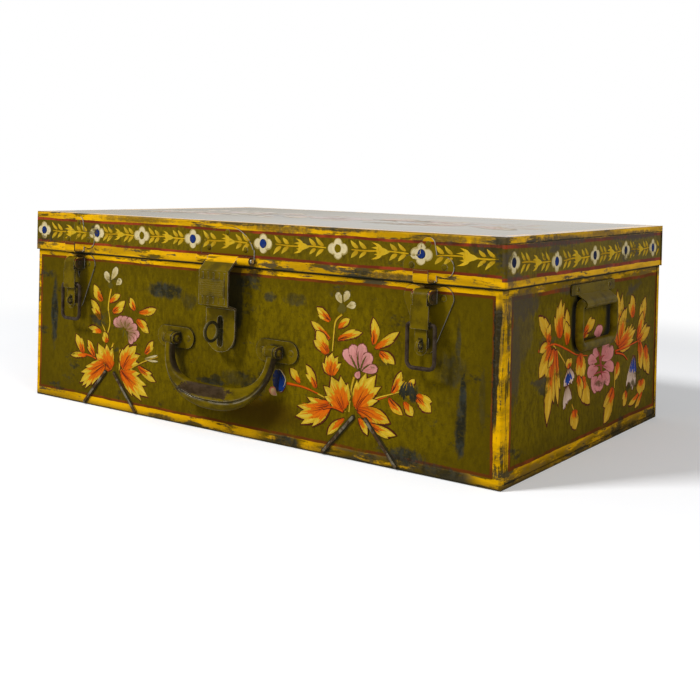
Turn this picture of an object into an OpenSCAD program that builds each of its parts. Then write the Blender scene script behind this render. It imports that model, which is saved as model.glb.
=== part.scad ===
/* [Case] */
// Width over the case, without the lid's overhang
case_w = 596; // [500:1:760]
// Depth over the case, front to back
case_d = 381; // [300:1:480]
// Height of the case up to the lid's edge
case_h = 169; // [155:1:240]
// How far the case rim stands up inside the lid
rim_rise = 10; // [7:0.5:12]
// Thickness of the painted steel sheet
sheet_t = 0.8; // [0.6:0.1:1.2]
// Outer radius of the folded sheet corners
bend_r = 2; // [1.5:0.1:3]
// How far the case's front and back are folded over its ends
case_lap = 8; // [3.5:0.5:12]
// How far the floor and the lid's skirt are folded over their ends
end_lap = 4; // [3.5:0.5:8]

/* [Lid] */
// Height of the lid
lid_h = 44; // [42:1:60]
// Running gap between the case and the lid's skirt
lid_gap = 1.2; // [1:0.1:1.6]
// How far the lid's top sheet is folded down over its ends
top_lap = 6; // [3.5:0.5:10]

/* [Pressed ribs] */
// Distance of the pair of ribs on the left from the middle
rib_left_x = 174; // [150:1:190]
// Distance of the pair of ribs on the right from the middle
rib_right_x = 156; // [140:1:180]
// Half distance between the feet of a pair
rib_foot = 40; // [30:1:44]
// Half distance between the tops of a pair
rib_top = 7; // [5:0.5:12]
// Height of the ribs above the floor
rib_rise = 40; // [25:1:50]
// Radius of the bead
rib_r = 2.4; // [1.8:0.1:3]

/* [Rivets and pins] */
// Radius of the small rivets
rivet_r = 1.5; // [1.2:0.1:1.8]
// Radius of their domed heads
rivet_head_r = 3; // [2.6:0.1:3.4]
// Height of their domed heads
rivet_head_h = 1.5; // [1:0.1:1.6]
// Radius of the hinge, hasp and latch pins
pin_r = 1.5; // [1.2:0.1:1.7]
// Running clearance around a pin
pin_fit = 0.06; // [0.03:0.01:0.1]
// Side clearance between moving pieces
side_gap = 0.35; // [0.3:0.05:0.5]

/* [Draw latches] */
// Distance of each latch from its end of the case
latch_inset = 72; // [63:1:98]
// Drop of the lever's pin below the lid's edge
lever_drop = 11; // [10:0.5:14]
// How far the lever's pin stands off the case
lever_out = 9; // [8.5:0.1:10]
// Radius of the lever's knuckle
lever_knuckle_r = 7; // [6:0.1:7.4]
// Width of the lever's flap
lever_w = 18; // [16:0.5:20]
// Length of the flap below the pin
flap_len = 26; // [24:0.5:30]
// Length of the whole lever below the pin
lever_len = 50.5; // [48:0.5:54]
// Width of the tab at the lever's end
tab_w = 12; // [10:0.5:14]
// Thickness of the latch steel
latch_t = 1.5; // [1.2:0.1:1.6]
// Radius of the bail's wire
bail_r = 1.75; // [1.5:0.05:1.9]
// Width over the bail
bail_w = 31; // [29:0.5:34]
// Length of the bail from its pivot to its outer end
bail_len = 40; // [37:0.5:42]
// How far the catch stands off the lid
catch_out = 14; // [12:0.5:15]
// Width of the catch hook
catch_w = 15; // [12:0.5:18]
// Height of the catch hook
catch_h = 11; // [9:0.5:13]

/* [Hasp] */
// Place of the hasp along the front
hasp_x = -5; // [-12:1:12]
// Width of the hasp's hinge
hasp_hinge_w = 69; // [60:1:80]
// Width of the strap
strap_w = 38; // [30:1:44]
// Thickness of the strap
strap_t = 1.8; // [1.5:0.1:2]
// Height of the hasp's pin above the lid's edge
hasp_pin_rise = 6.5; // [6:0.1:8]
// How far the hasp's pin stands off the case
hasp_pin_out = 7.6; // [7.4:0.1:9]
// Radius of the hasp's knuckles
hasp_knuckle_r = 4; // [3.5:0.1:4.2]
// How far the raised front stands off the pin
box_out = 15.6; // [13:0.1:18]
// Drop of the raised front's top below the pin
box_drop = 9.5; // [8:0.5:12]
// Height of the raised front
box_h = 35.5; // [30:0.5:38]
// Length of the strap below its pin
strap_len = 92; // [88:0.5:98]
// Outer radius of the staple's ring
staple_ring_r = 10.9; // [9:0.1:11.5]
// Radius of the staple's bar
staple_bar_r = 1.6; // [1.3:0.1:2]
// Drop of the staple below the lid's edge
staple_drop = 63.8; // [60:0.1:66]
// How far the ring's centre stands off the case
staple_out = 24.5; // [23:0.5:27]

/* [Front handle] */
// Place of the handle along the front
handle_x = -7.6; // [-20:0.1:20]
// Distance between the middles of the handle's two ends
handle_span = 134; // [110:1:150]
// Drop of the handle's pins below the lid's edge
handle_drop = 78.6; // [74:0.1:84]
// How far the pins stand off the case
handle_out = 9; // [8.6:0.1:11]
// Drop of the grip below the pins
grip_drop = 63.5; // [58:0.5:69]
// Height of the grip at its middle
grip_h = 24; // [18:0.5:27]
// Depth of the grip
grip_t = 12; // [10:0.5:14]
// How much further out the bottom of the grip hangs than the pins
grip_tilt = 7; // [0:0.5:9]
// Width of the handle's two ends
limb_w = 9.5; // [8:0.1:11]
// Radius of the rounded ends around the pins
eye_r = 6.3; // [5.6:0.1:6.3]
// Radius of the handle's pins
handle_pin_r = 2.5; // [2:0.1:3]
// Length of the riveted plate at each end
lug_len = 51; // [48:0.5:56]
// Height of that plate
lug_h = 21.5; // [18:0.5:24]
// Thickness of that plate
lug_t = 2.2; // [1.5:0.1:2.3]

/* [Side handles] */
// Width of the side handle's plate
plate_w = 106; // [100:1:120]
// Height of the plate's flat part
plate_h = 9.5; // [8:0.5:12]
// Thickness of the plate
plate_t = 1.2; // [1:0.1:1.4]
// Drop of the ring's pivot below the lid's edge
ring_drop = 24.5; // [23:0.5:28]
// Width over the ring
ring_w = 96; // [90:1:100]
// Length of the ring from its pivot to its lower edge
ring_len = 45; // [38:0.5:50]
// Width of the ring's bar
ring_bar_w = 9.5; // [8:0.1:11]
// Thickness of the ring's bar
ring_bar_t = 6; // [5.4:0.1:6.6]
// Radius of the ring's journal inside the rolled plate
journal_r = 3.2; // [2.8:0.1:3.3]

/* [Rear hinges] */
// Distance of each hinge from its end of the case
hinge_inset = 128; // [78:1:178]
// Width of a hinge
hinge_w = 46; // [40:1:60]
// Length of each hinge leaf
hinge_leaf = 30; // [28:0.5:34]
// How far the hinge pin stands off the back
hinge_out = 6.2; // [6:0.1:7]
// Radius of the hinge knuckles
hinge_knuckle_r = 3.3; // [3:0.1:3.4]

/* [Hidden] */
$fn = 48;
eps = 0.01;
olive = [0.36, 0.31, 0.02];
dark_olive = [0.27, 0.24, 0.04];
worn_steel = [0.33, 0.29, 0.24];
bright_steel = [0.62, 0.6, 0.56];

// Overhang of the lid's faces past the case's faces
lid_out = lid_gap + sheet_t;
lid_w = case_w + 2 * lid_out;
lid_d = case_d + 2 * lid_out;
hole_r = rivet_r + 0.05;
hole_reach = 10;
bore_r = pin_r + pin_fit;
pin_head_r = pin_r + 0.9;
pin_head_h = 0.9;
plate_steel_t = 1.2;
plate_corner_r = 2;

// Height of the centre of a rib's round foot
rib_low = rib_r + 0.6;

// Heights measured up from the lid's edge
lid_rivet_z = rim_rise + rivet_head_r + 2;
catch_lobe_r = 9;
catch_top_r = 6.5;
catch_lobe_x = 16.5;
catch_top_z = lid_h - 3.5 - catch_top_r;
catch_hub_r = 8;
catch_hub_z = lid_rivet_z + 2;
catch_neck_r = 10;
hook_low = 1.3;
hook_bend = 2.2;
dome_top_z = lid_h - 4.5;
dome_r = 36;
dome_rivet_x = 24;
dome_rivet_z = lid_rivet_z + 2;
dome_top_rivet_z = dome_top_z - 6;

// Draw latch, measured from the lever's pin
latch_x = case_w / 2 - latch_inset;
cheek_r = lever_knuckle_r - 0.6;
head_w = lever_w - 2 * latch_t - 2 * side_gap;
flap_out = lever_knuckle_r - latch_t / 2;
bail_tube_wall = 1.2;
bail_tube_sink = 0.8;
bail_tube_r = bail_r + pin_fit + bail_tube_wall;
bail_pivot_out = lever_knuckle_r - latch_t - bail_tube_r + bail_tube_sink;
bail_pivot_z = -flap_len + bail_tube_r - bail_tube_sink;
bail_hook = 7;
bail_low_bend = 6;
bail_top_bend = bail_r + 1;
tab_out = 2.2;
padlock_r = 4.4;
padlock_hole_r = 2.4;
padlock_t = 2.4;
padlock_z = -(lever_len + flap_len) / 2 - 3;
padlock_out = lever_out + 5.6;
lever_slot_w = padlock_t + 2;
lever_slot_r = padlock_r + 1.3;
latch_lobe_x = 15;
latch_lobe_r = 10;
latch_lobe_z = -12;
latch_lobe_flat = 2 * latch_lobe_r - 2;
latch_foot_z = -lever_drop - lever_len + 7.5;
latch_foot_r = 7;

// Hasp, measured from its pin
tongue_out = 3.2;
tongue_top = -(box_drop + box_h + 4);
slot_w = 2 * staple_bar_r + 4.3;
slot_top = -(staple_drop + hasp_pin_rise) + staple_ring_r + 3.6;
slot_low = -(staple_drop + hasp_pin_rise) - staple_ring_r - 5.8;
badge_w = strap_w - 7;
badge_h = 16;
badge_t = 0.7;
badge_rib_r = 0.4;
badge_rib_pitch = 2.1;
flute_r = 1;
flute_len = 6;
flute_pitch = strap_w / 5.4;
flute_inset = 5.5;
staple_foot_w = 20;
staple_foot_h = 38;
staple_foot_r = 8;
staple_rivet_z = 13;

// Handle, measured from its pins
path_half = handle_span / 2;
path_drop = grip_drop - grip_h / 2;
path_power = 0.82;
path_steps = 44;
section_steps = 20;
limb_depth = limb_w / 2 - 0.4;
limb_swell = 1.2;
limb_bow = 4;
grip_lean = 3.2;
ear_t = 2.5;
ear_in = limb_w / 2 + 1.3 * side_gap;
ear_r = 5.6;
ear_out_face = ear_in + ear_t;
lug_rivet_x = (lug_len - lug_h) / 2 + 3;

// Side handle
roll_fit = 0.08;
roll_in = journal_r + roll_fit;
roll_out = roll_in + plate_t;
roll_mid = roll_in + plate_t / 2;
ring_swing_r = norm([ring_bar_t / 2, ring_bar_w / 2]);
ring_out = ring_swing_r + side_gap;
ring_back = ring_out - ring_bar_t / 2;
ring_low_bend = 11;
ring_top_bend = ring_bar_w / 2 + 0.4;
ring_limb = (ring_w - ring_bar_w) / 2;
roll_w = ring_w - 2 * ring_bar_w - 2 * side_gap - 1.5;
plate_low = -ring_drop + roll_out * 2;
plate_rivet_x = plate_w / 2 - 14;

// Rear hinges: five knuckles on one pin, three on the case leaf and two on the lid leaf
hinge_x = case_w / 2 - hinge_inset;
hinge_knuckles = 5;
knuckle_pitch = hinge_w / hinge_knuckles;
hinge_start = 8;
hinge_rivet_x = 16;
hinge_rivet_drop = 20;
hinge_rivet_step = 4;

// Sets its children on a face of the case: along X, outwards along -Y, up along Z
module on_front() translate([0, -case_d / 2, 0]) children();
module on_back() translate([0, case_d / 2, 0]) rotate([0, 0, 180]) children();
module on_right() translate([case_w / 2, 0, 0]) rotate([0, 0, 90]) children();
module on_left() mirror([1, 0, 0]) on_right() children();

// An outline in X and Z, made a plate of thickness t that starts at distance out
module face_plate(out, t) translate([0, -out, 0]) rotate([90, 0, 0]) linear_extrude(t) children();

// A profile in distance-out and Z, made a bar of width w along X
module side_bar(w) rotate([90, 0, -90]) linear_extrude(w, center = true) children();

// Two circles and the straight flanks between them, set in a hair so that they cross the circles
module link2d(p, pr, q, qr) {
    way = q - p;
    turn = atan2(way.y, way.x);
    side = acos((pr - qr) / norm(way));
    translate(p) circle(pr);
    translate(q) circle(qr);
    polygon([
        p + (pr - eps) * [cos(turn + side), sin(turn + side)],
        q + (qr - eps) * [cos(turn + side), sin(turn + side)],
        q + (qr - eps) * [cos(turn - side), sin(turn - side)],
        p + (pr - eps) * [cos(turn - side), sin(turn - side)]
    ]);
}

module rounded_rect(w, h, r) {
    square([w - 2 * r, h], center = true);
    square([w, h - 2 * r], center = true);
    for (sx = [-1, 1], sy = [-1, 1]) translate([sx * (w / 2 - r), sy * (h / 2 - r)]) circle(r);
}

// Sheet of thickness t bent along the given points
function unit(v) = v / norm(v);
function left_of(v) = [-v.y, v.x];
function leg_normal(pts, i) = left_of(unit(pts[i + 1] - pts[i]));
function mitre(a, b, d) = unit(a + b) * (d / (unit(a + b) * a));
function bend_offset(pts, i, d) =
    i == 0 ? leg_normal(pts, 0) * d :
    i == len(pts) - 1 ? leg_normal(pts, i - 1) * d :
    mitre(leg_normal(pts, i - 1), leg_normal(pts, i), d);
module bent_strip(pts, t) polygon(concat(
    [for (i = [0 : len(pts) - 1]) pts[i] + bend_offset(pts, i, t / 2)],
    [for (i = [len(pts) - 1 : -1 : 0]) pts[i] - bend_offset(pts, i, t / 2)]
));

// One rivet along the outward axis, its head seated at one level and its tail at the other
module rivet(seat, back) {
    ball_r = (rivet_head_r * rivet_head_r + rivet_head_h * rivet_head_h) / (2 * rivet_head_h);
    tail_t = 0.8;
    tail_r = rivet_head_r - 0.5;
    rotate([90, 0, 0]) rotate_extrude() {
        intersection() {
            translate([0, seat + rivet_head_h - ball_r]) circle(ball_r);
            translate([0, seat]) square([rivet_head_r, 2 * rivet_head_h]);
        }
        translate([0, back - tail_t / 2]) square([rivet_r, seat - back + tail_t]);
        translate([0, back - tail_t]) square([tail_r, tail_t]);
    }
}

module rivet_hole() rotate([90, 0, 0]) cylinder(r = hole_r, h = hole_reach, center = true);

// Places of the rivets: along X and up from the floor
latch_rivets = [for (s = [-1, 1]) [s * latch_lobe_x, case_h + latch_lobe_z]];
catch_rivets = [for (s = [-1, 1]) [s * catch_lobe_x, case_h + lid_rivet_z], [0, case_h + catch_top_z]];
dome_rivets = [for (s = [-1, 1]) [s * dome_rivet_x, case_h + dome_rivet_z], [0, case_h + dome_top_rivet_z]];
staple_rivets = [for (s = [-1, 1]) [0, case_h - staple_drop + s * staple_rivet_z]];
lug_rivets = [for (s = [-1, 1]) [s * lug_rivet_x, case_h - handle_drop]];
plate_rivets = [for (s = [-1, 1]) [s * plate_rivet_x, case_h + plate_low + plate_h / 2]];
hinge_case_rivets = [for (s = [-1 : 1])
    [s * hinge_rivet_x, case_h - hinge_rivet_drop - (1 - abs(s)) * hinge_rivet_step]];
hinge_lid_rivets = [for (s = [-1 : 1])
    [s * hinge_rivet_x, case_h + lid_rivet_z + (1 - abs(s)) * 2 * hinge_rivet_step]];

module at_rivets(places) for (p = places) translate([p.x, 0, p.y]) children();
module at_latches() for (s = [-1, 1]) translate([s * latch_x, 0, 0]) children();
module at_hinges() for (s = [-1, 1]) translate([s * hinge_x, 0, 0]) children();
module at_lugs() for (s = [-1, 1]) translate([handle_x + s * handle_span / 2, 0, 0]) children();

// Sheet folded into front, floor and back, with narrow laps over the two end panels
module folded_shell(w, d, h, lap, floor_lap) {
    difference() {
        intersection() {
            linear_extrude(h) rounded_rect(w, d, bend_r);
            rotate([90, 0, 90]) linear_extrude(w, center = true) {
                translate([-d / 2, bend_r]) square([d, h - bend_r]);
                translate([-d / 2 + bend_r, 0]) square([d - 2 * bend_r, h]);
                for (s = [-1, 1]) translate([s * (d / 2 - bend_r), bend_r]) circle(bend_r);
            }
        }
        translate([0, 0, sheet_t]) linear_extrude(h)
            rounded_rect(w - 2 * sheet_t, d - 2 * sheet_t, bend_r - sheet_t);
        translate([0, 0, floor_lap + h / 2]) cube([w + 2, d - 2 * lap, h], center = true);
    }
}
module end_panel(w, d, h)
    translate([w / 2 - 2 * sheet_t, -(d / 2 - bend_r), bend_r])
        cube([sheet_t, d - 2 * bend_r, h - bend_r]);

// Raised bead with round ends that leans from its foot to its top
module rib(foot, top) {
    way = top - foot;
    translate([foot.x, 0, foot.y]) rotate([0, atan2(way.x, way.y), 0]) rotate_extrude() intersection() {
        union() {
            circle(rib_r);
            translate([0, norm(way)]) circle(rib_r);
            translate([-rib_r, 0]) square([2 * rib_r, norm(way)]);
        }
        translate([0, -rib_r]) square([rib_r, norm(way) + 2 * rib_r]);
    }
}

module ribs() for (x = [-rib_left_x, rib_right_x], s = [-1, 1])
    rib([x + s * rib_foot, rib_low], [x + s * rib_top, rib_rise]);

module case_holes() {
    on_front() {
        at_latches() at_rivets(latch_rivets) rivet_hole();
        at_lugs() at_rivets(lug_rivets) rivet_hole();
        translate([hasp_x, 0, 0]) at_rivets(staple_rivets) rivet_hole();
    }
    on_back() at_hinges() at_rivets(hinge_case_rivets) rivet_hole();
}

module case_wrap() color(olive) difference() {
    union() {
        folded_shell(case_w, case_d, case_h + rim_rise, case_lap, end_lap);
        difference() {
            on_front() ribs();
            translate([0, 0, case_h / 2]) cube([case_w, case_d - sheet_t, case_h], center = true);
        }
    }
    case_holes();
}

module end_with_holes() difference() {
    end_panel(case_w, case_d, case_h + rim_rise);
    on_right() at_rivets(plate_rivets) rivet_hole();
}

module case_end_right() color(olive) end_with_holes();
module case_end_left() color(olive) mirror([1, 0, 0]) end_with_holes();

module case_rivets() color(worn_steel) {
    on_front() {
        at_latches() at_rivets(latch_rivets) rivet(plate_steel_t, -sheet_t);
        at_lugs() at_rivets(lug_rivets) rivet(lug_t, -sheet_t);
        translate([hasp_x, 0, 0]) at_rivets(staple_rivets) rivet(plate_steel_t, -sheet_t);
    }
    on_back() at_hinges() at_rivets(hinge_case_rivets) rivet(plate_steel_t, -sheet_t);
    on_right() at_rivets(plate_rivets) rivet(plate_t, -2 * sheet_t);
    on_left() at_rivets(plate_rivets) rivet(plate_t, -2 * sheet_t);
}

// Lid, made like the case and turned over
module lid_shell() translate([0, 0, case_h + lid_h]) mirror([0, 0, 1])
    folded_shell(lid_w, lid_d, lid_h, end_lap, top_lap);

module lid_wrap() color(olive) difference() {
    lid_shell();
    on_front() {
        at_latches() at_rivets(catch_rivets) rivet_hole();
        translate([hasp_x, 0, 0]) at_rivets(dome_rivets) rivet_hole();
    }
    on_back() at_hinges() at_rivets(hinge_lid_rivets) rivet_hole();
}

module lid_end_right() color(olive) translate([0, 0, case_h + lid_h]) mirror([0, 0, 1])
    end_panel(lid_w, lid_d, lid_h);
module lid_end_left() color(olive) mirror([1, 0, 0]) lid_end_right();

module lid_rivets() color(worn_steel) {
    on_front() {
        at_latches() at_rivets(catch_rivets) rivet(lid_out + plate_steel_t, lid_gap);
        translate([hasp_x, 0, 0]) at_rivets(dome_rivets) rivet(lid_out + plate_steel_t, lid_gap);
    }
    on_back() at_hinges() at_rivets(hinge_lid_rivets) rivet(lid_out + plate_steel_t, lid_gap);
}

// Base plate of a draw latch, with the lever's two cheeks and a small padlock staple
module latch_base() {
    foot = [0, latch_foot_z];
    translate([0, 0, case_h]) difference() {
        union() {
            face_plate(0, plate_steel_t) {
                for (s = [-1, 1])
                    link2d([s * latch_lobe_x, latch_lobe_z], latch_lobe_r, foot, latch_foot_r);
                translate([0, latch_lobe_z]) square([2 * latch_lobe_x, latch_lobe_flat], center = true);
            }
            for (s = [-1, 1]) translate([s * (lever_w - latch_t) / 2, 0, 0]) side_bar(latch_t) {
                translate([lever_out, -lever_drop]) circle(cheek_r);
                translate([plate_steel_t / 2, -lever_drop - cheek_r])
                    square([lever_out - plate_steel_t / 2, 2 * cheek_r]);
            }
            side_bar(padlock_t) difference() {
                union() {
                    translate([padlock_out, padlock_z - lever_drop]) circle(padlock_r);
                    translate([0.5, padlock_z - lever_drop - padlock_r])
                        square([padlock_out - 0.5, 2 * padlock_r]);
                }
                translate([padlock_out, padlock_z - lever_drop]) circle(padlock_hole_r);
            }
        }
        translate([0, -lever_out, -lever_drop]) rotate([0, 90, 0])
            cylinder(r = bore_r, h = lever_w + 4, center = true);
        translate([0, 0, -case_h]) at_rivets(latch_rivets) rivet_hole();
    }
}
module latch_base_left() color(dark_olive) on_front() translate([-latch_x, 0, 0]) latch_base();
module latch_base_right() color(dark_olive) on_front() translate([latch_x, 0, 0]) latch_base();

module latch_pins() color(worn_steel) on_front() at_latches()
    translate([0, -lever_out, case_h - lever_drop]) rotate([0, 90, 0]) {
        cylinder(r = pin_r, h = lever_w + pin_head_h, center = true);
        for (s = [-1, 1]) translate([0, 0, s * (lever_w + pin_head_h) / 2])
            cylinder(r = pin_head_r, h = pin_head_h, center = true);
    }

// Lever around its pin: knuckle, wide flap, tube for the bail and slotted tab
module latch_lever() difference() {
    union() {
        side_bar(head_w) {
            circle(lever_knuckle_r);
            translate([flap_out - latch_t / 2, -flap_len]) square([latch_t, flap_len]);
        }
        side_bar(lever_w) translate([flap_out - latch_t / 2, -flap_len])
            square([latch_t, flap_len - cheek_r - side_gap - 0.4]);
        side_bar(lever_w) translate([tab_out, -flap_len - latch_t])
            square([lever_knuckle_r - tab_out, latch_t]);
        side_bar(lever_w - 1) translate([bail_pivot_out, bail_pivot_z]) circle(bail_tube_r);
        face_plate(tab_out, latch_t) {
            translate([0, -lever_len + tab_w / 2]) circle(tab_w / 2);
            translate([-tab_w / 2, -lever_len + tab_w / 2])
                square([tab_w, lever_len - flap_len - tab_w / 2]);
        }
    }
    rotate([0, 90, 0]) cylinder(r = bore_r, h = 2 * lever_w, center = true);
    translate([0, -bail_pivot_out, bail_pivot_z]) rotate([0, 90, 0])
        cylinder(r = bail_r + pin_fit, h = 2 * lever_w, center = true);
    translate([0, -tab_out - latch_t / 2, padlock_z])
        cube([lever_slot_w, 2 * latch_t, 2 * lever_slot_r], center = true);
}
module lever_at(x) on_front() translate([x, -lever_out, case_h - lever_drop]) latch_lever();
module latch_lever_left() color(dark_olive) lever_at(-latch_x);
module latch_lever_right() color(dark_olive) lever_at(latch_x);

// Quarter bend of round wire in the X-Z plane, from angle a
module wire_bend(r, bend, a) rotate([90, 0, 0]) rotate([0, 0, a])
    rotate_extrude(angle = 90) translate([bend, 0]) circle(r);

module wire_bail() {
    leg = bail_w / 2 - bail_r;
    low = -bail_len + bail_r;
    flat = leg - bail_low_bend;
    for (s = [0, 1]) mirror([s, 0, 0]) {
        translate([leg, 0, low + bail_low_bend])
            cylinder(r = bail_r, h = -low - bail_low_bend - bail_top_bend);
        translate([leg - bail_top_bend, 0, -bail_top_bend]) wire_bend(bail_r, bail_top_bend, 0);
        translate([leg - bail_top_bend - bail_hook, 0, 0]) rotate([0, 90, 0])
            cylinder(r = bail_r, h = bail_hook);
        translate([flat, 0, low + bail_low_bend]) wire_bend(bail_r, bail_low_bend, -90);
    }
    translate([0, 0, low]) rotate([0, 90, 0]) cylinder(r = bail_r, h = 2 * flat, center = true);
}
module bail_at(x) on_front()
    translate([x, -lever_out - bail_pivot_out, case_h - lever_drop + bail_pivot_z]) wire_bail();
module latch_bail_left() color(worn_steel) bail_at(-latch_x);
module latch_bail_right() color(worn_steel) bail_at(latch_x);

// Lobed catch plate on the lid with its hook, open at the top
module catch() {
    hub = [0, catch_hub_z];
    hook_mid = hook_low + latch_t / 2;
    hook_out = lid_out + catch_out - latch_t / 2;
    translate([0, 0, case_h]) difference() {
        union() {
            face_plate(lid_out, plate_steel_t) {
                for (s = [-1, 1]) link2d(hub, catch_hub_r, [s * catch_lobe_x, lid_rivet_z], catch_lobe_r);
                link2d(hub, catch_neck_r, [0, catch_top_z], catch_top_r);
                translate([-catch_w / 2 - 1, hook_mid]) square([catch_w + 2, lid_rivet_z]);
            }
            side_bar(catch_w) bent_strip([
                [lid_out + plate_steel_t / 2, hook_mid],
                [hook_out - hook_bend / 2, hook_mid],
                [hook_out, hook_low + hook_bend],
                [hook_out, hook_low + catch_h]
            ], latch_t);
        }
        translate([0, 0, -case_h]) at_rivets(catch_rivets) rivet_hole();
    }
}
module catch_left() color(olive) on_front() translate([-latch_x, 0, 0]) catch();
module catch_right() color(olive) on_front() translate([latch_x, 0, 0]) catch();

// Domed plate on the lid that carries the two outer knuckles of the hasp
module hasp_plate() color(olive) on_front() translate([hasp_x, 0, case_h]) {
    low = hasp_pin_rise + hasp_knuckle_r - 1;
    knuckle_w = (hasp_hinge_w - strap_w - 2 * side_gap) / 2;
    difference() {
        union() {
            face_plate(lid_out, plate_steel_t) intersection() {
                union() {
                    translate([0, dome_top_z - dome_r]) circle(dome_r);
                    translate([-hasp_hinge_w / 2, low]) square([hasp_hinge_w, hasp_knuckle_r * 2]);
                }
                translate([-hasp_hinge_w / 2, low]) square([hasp_hinge_w, lid_h]);
            }
            for (s = [-1, 1]) translate([s * (hasp_hinge_w - knuckle_w) / 2, 0, 0]) side_bar(knuckle_w) {
                translate([hasp_pin_out, hasp_pin_rise]) circle(hasp_knuckle_r);
                translate([lid_out, hasp_pin_rise + 1])
                    square([hasp_pin_out - lid_out, hasp_knuckle_r - 1]);
            }
        }
        translate([0, -hasp_pin_out, hasp_pin_rise]) rotate([0, 90, 0])
            cylinder(r = bore_r, h = hasp_hinge_w + 2, center = true);
        translate([0, 0, -case_h]) at_rivets(dome_rivets) rivet_hole();
    }
}

module hasp_pin() color(bright_steel) on_front()
    translate([hasp_x, -hasp_pin_out, case_h + hasp_pin_rise]) rotate([0, 90, 0]) {
        cylinder(r = pin_r, h = hasp_hinge_w + 2 * pin_head_r, center = true);
        translate([0, 0, hasp_hinge_w / 2 + side_gap]) cylinder(r = pin_head_r, h = 2 * pin_head_h);
    }

// Strap of the hasp around its pin: knuckle, slope, raised front, step and slotted tongue
module hasp_strap() color(olive) on_front() translate([hasp_x, -hasp_pin_out, case_h + hasp_pin_rise]) {
    face = box_out - strap_t / 2;
    box_low = -box_drop - box_h + strap_t / 2;
    difference() {
        union() {
            side_bar(strap_w) {
                circle(hasp_knuckle_r);
                bent_strip([
                    [0, hasp_knuckle_r - strap_t / 2],
                    [face, -box_drop - strap_t / 2],
                    [face, box_low],
                    [tongue_out, tongue_top + 1],
                    [tongue_out, tongue_top - 4]
                ], strap_t);
            }
            face_plate(tongue_out - strap_t / 2, strap_t) {
                translate([0, -strap_len + strap_w / 2]) circle(strap_w / 2);
                translate([-strap_w / 2, -strap_len + strap_w / 2])
                    square([strap_w, strap_len + tongue_top - strap_w / 2]);
            }
            for (z = [-box_drop - flute_inset, -box_drop - box_h + flute_inset], i = [-2 : 2])
                translate([i * flute_pitch, -box_out + flute_r / 3, z])
                    cylinder(r = flute_r, h = flute_len, center = true);
        }
        rotate([0, 90, 0]) cylinder(r = bore_r, h = 2 * strap_w, center = true);
        face_slot();
    }
}

module face_slot() face_plate(tongue_out - strap_t, 2 * strap_t)
    link2d([0, slot_top - slot_w / 2], slot_w / 2, [0, slot_low + slot_w / 2], slot_w / 2);

// Plain ribbed plate on the raised front
module hasp_badge() color(worn_steel) on_front()
    translate([hasp_x - 1, -hasp_pin_out - box_out, case_h + hasp_pin_rise - box_drop - box_h / 2]) {
        face_plate(0, badge_t) square([badge_w, badge_h], center = true);
        for (i = [-3 : 3]) translate([0, -badge_t, i * badge_rib_pitch])
            rotate([0, 90, 0]) cylinder(r = badge_rib_r, h = badge_w - 2, center = true);
    }

// Padlock staple: a ring on a neck with a riveted foot behind the tongue
module hasp_staple() color(worn_steel) on_front() translate([hasp_x, 0, case_h - staple_drop]) {
    difference() {
        face_plate(0, plate_steel_t) rounded_rect(staple_foot_w, staple_foot_h, staple_foot_r);
        translate([0, 0, -case_h + staple_drop]) at_rivets(staple_rivets) rivet_hole();
    }
    translate([0, -staple_out, 0]) rotate([0, 90, 0]) rotate_extrude()
        translate([staple_ring_r - staple_bar_r, 0]) circle(staple_bar_r);
    rotate([90, 0, 0]) cylinder(r = staple_bar_r + 0.4, h = staple_out - staple_ring_r + staple_bar_r);
}

// Riveted plate with two ears that hold one end of the front handle
module handle_lug() translate([0, 0, case_h - handle_drop]) difference() {
    union() {
        face_plate(0, lug_t) rounded_rect(lug_len, lug_h, lug_h / 2 - eps);
        for (s = [-1, 1]) translate([s * (ear_in + ear_t / 2), 0, 0]) side_bar(ear_t) {
            translate([handle_out, 0]) circle(ear_r);
            translate([lug_t / 2, -ear_r]) square([handle_out - lug_t / 2, 2 * ear_r]);
        }
    }
    translate([0, -handle_out, 0]) rotate([0, 90, 0])
        cylinder(r = handle_pin_r + pin_fit, h = lug_len, center = true);
    translate([0, 0, -case_h + handle_drop]) at_rivets(lug_rivets) rivet_hole();
}
module handle_lug_left() color(olive) on_front()
    translate([handle_x - handle_span / 2, 0, 0]) handle_lug();
module handle_lug_right() color(olive) on_front()
    translate([handle_x + handle_span / 2, 0, 0]) handle_lug();

module handle_pins() color(worn_steel) on_front() at_lugs()
    translate([0, -handle_out, case_h - handle_drop]) rotate([0, 90, 0]) {
        cylinder(r = handle_pin_r, h = 2 * ear_out_face + 1, center = true);
        for (s = [-1, 1]) translate([0, 0, s * (ear_out_face + 0.1)]) intersection() {
            sphere(handle_pin_r + 0.8);
            translate([0, 0, s * 5]) cube([20, 20, 10], center = true);
        }
    }

// Front handle: a bar swept along a rounded U, deeper towards the middle of the grip
function power(v, e) = sign(v) * pow(abs(v), e);
function deepen(a) = pow(sin(a), 3);
function bow(a) = sin(a) * (1 - deepen(a));
function u_point(a) = [-path_half * power(cos(a), path_power), -path_drop * power(sin(a), path_power)];
function u_way(a) = unit(u_point(min(a + 0.5, 180)) - u_point(max(a - 0.5, 0)));
function bar_half(a) = limb_w / 2 + (grip_h - limb_w) / 2 * deepen(a);
function bar_depth(a) = limb_depth * (1 - deepen(a)) + grip_t / 2 * deepen(a) + limb_swell * bow(a);
function bar_lean(a) = grip_lean * deepen(a) + limb_bow * bow(a);
function bar_tilt(z) = grip_tilt * max(-z, 0) / grip_drop;
function corner_power(f) = (cos(f) < -eps && sin(f) > eps) ? 1.7 : 0.75;
function section_point(a, f) =
    let (n = -left_of(u_way(a)), c = bar_half(a) * power(cos(f), corner_power(f)),
         o = bar_depth(a) * power(sin(f), corner_power(f)) + bar_lean(a), p = u_point(a) + n * c)
    [p.x, -o - bar_tilt(p.y), p.y];
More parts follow.
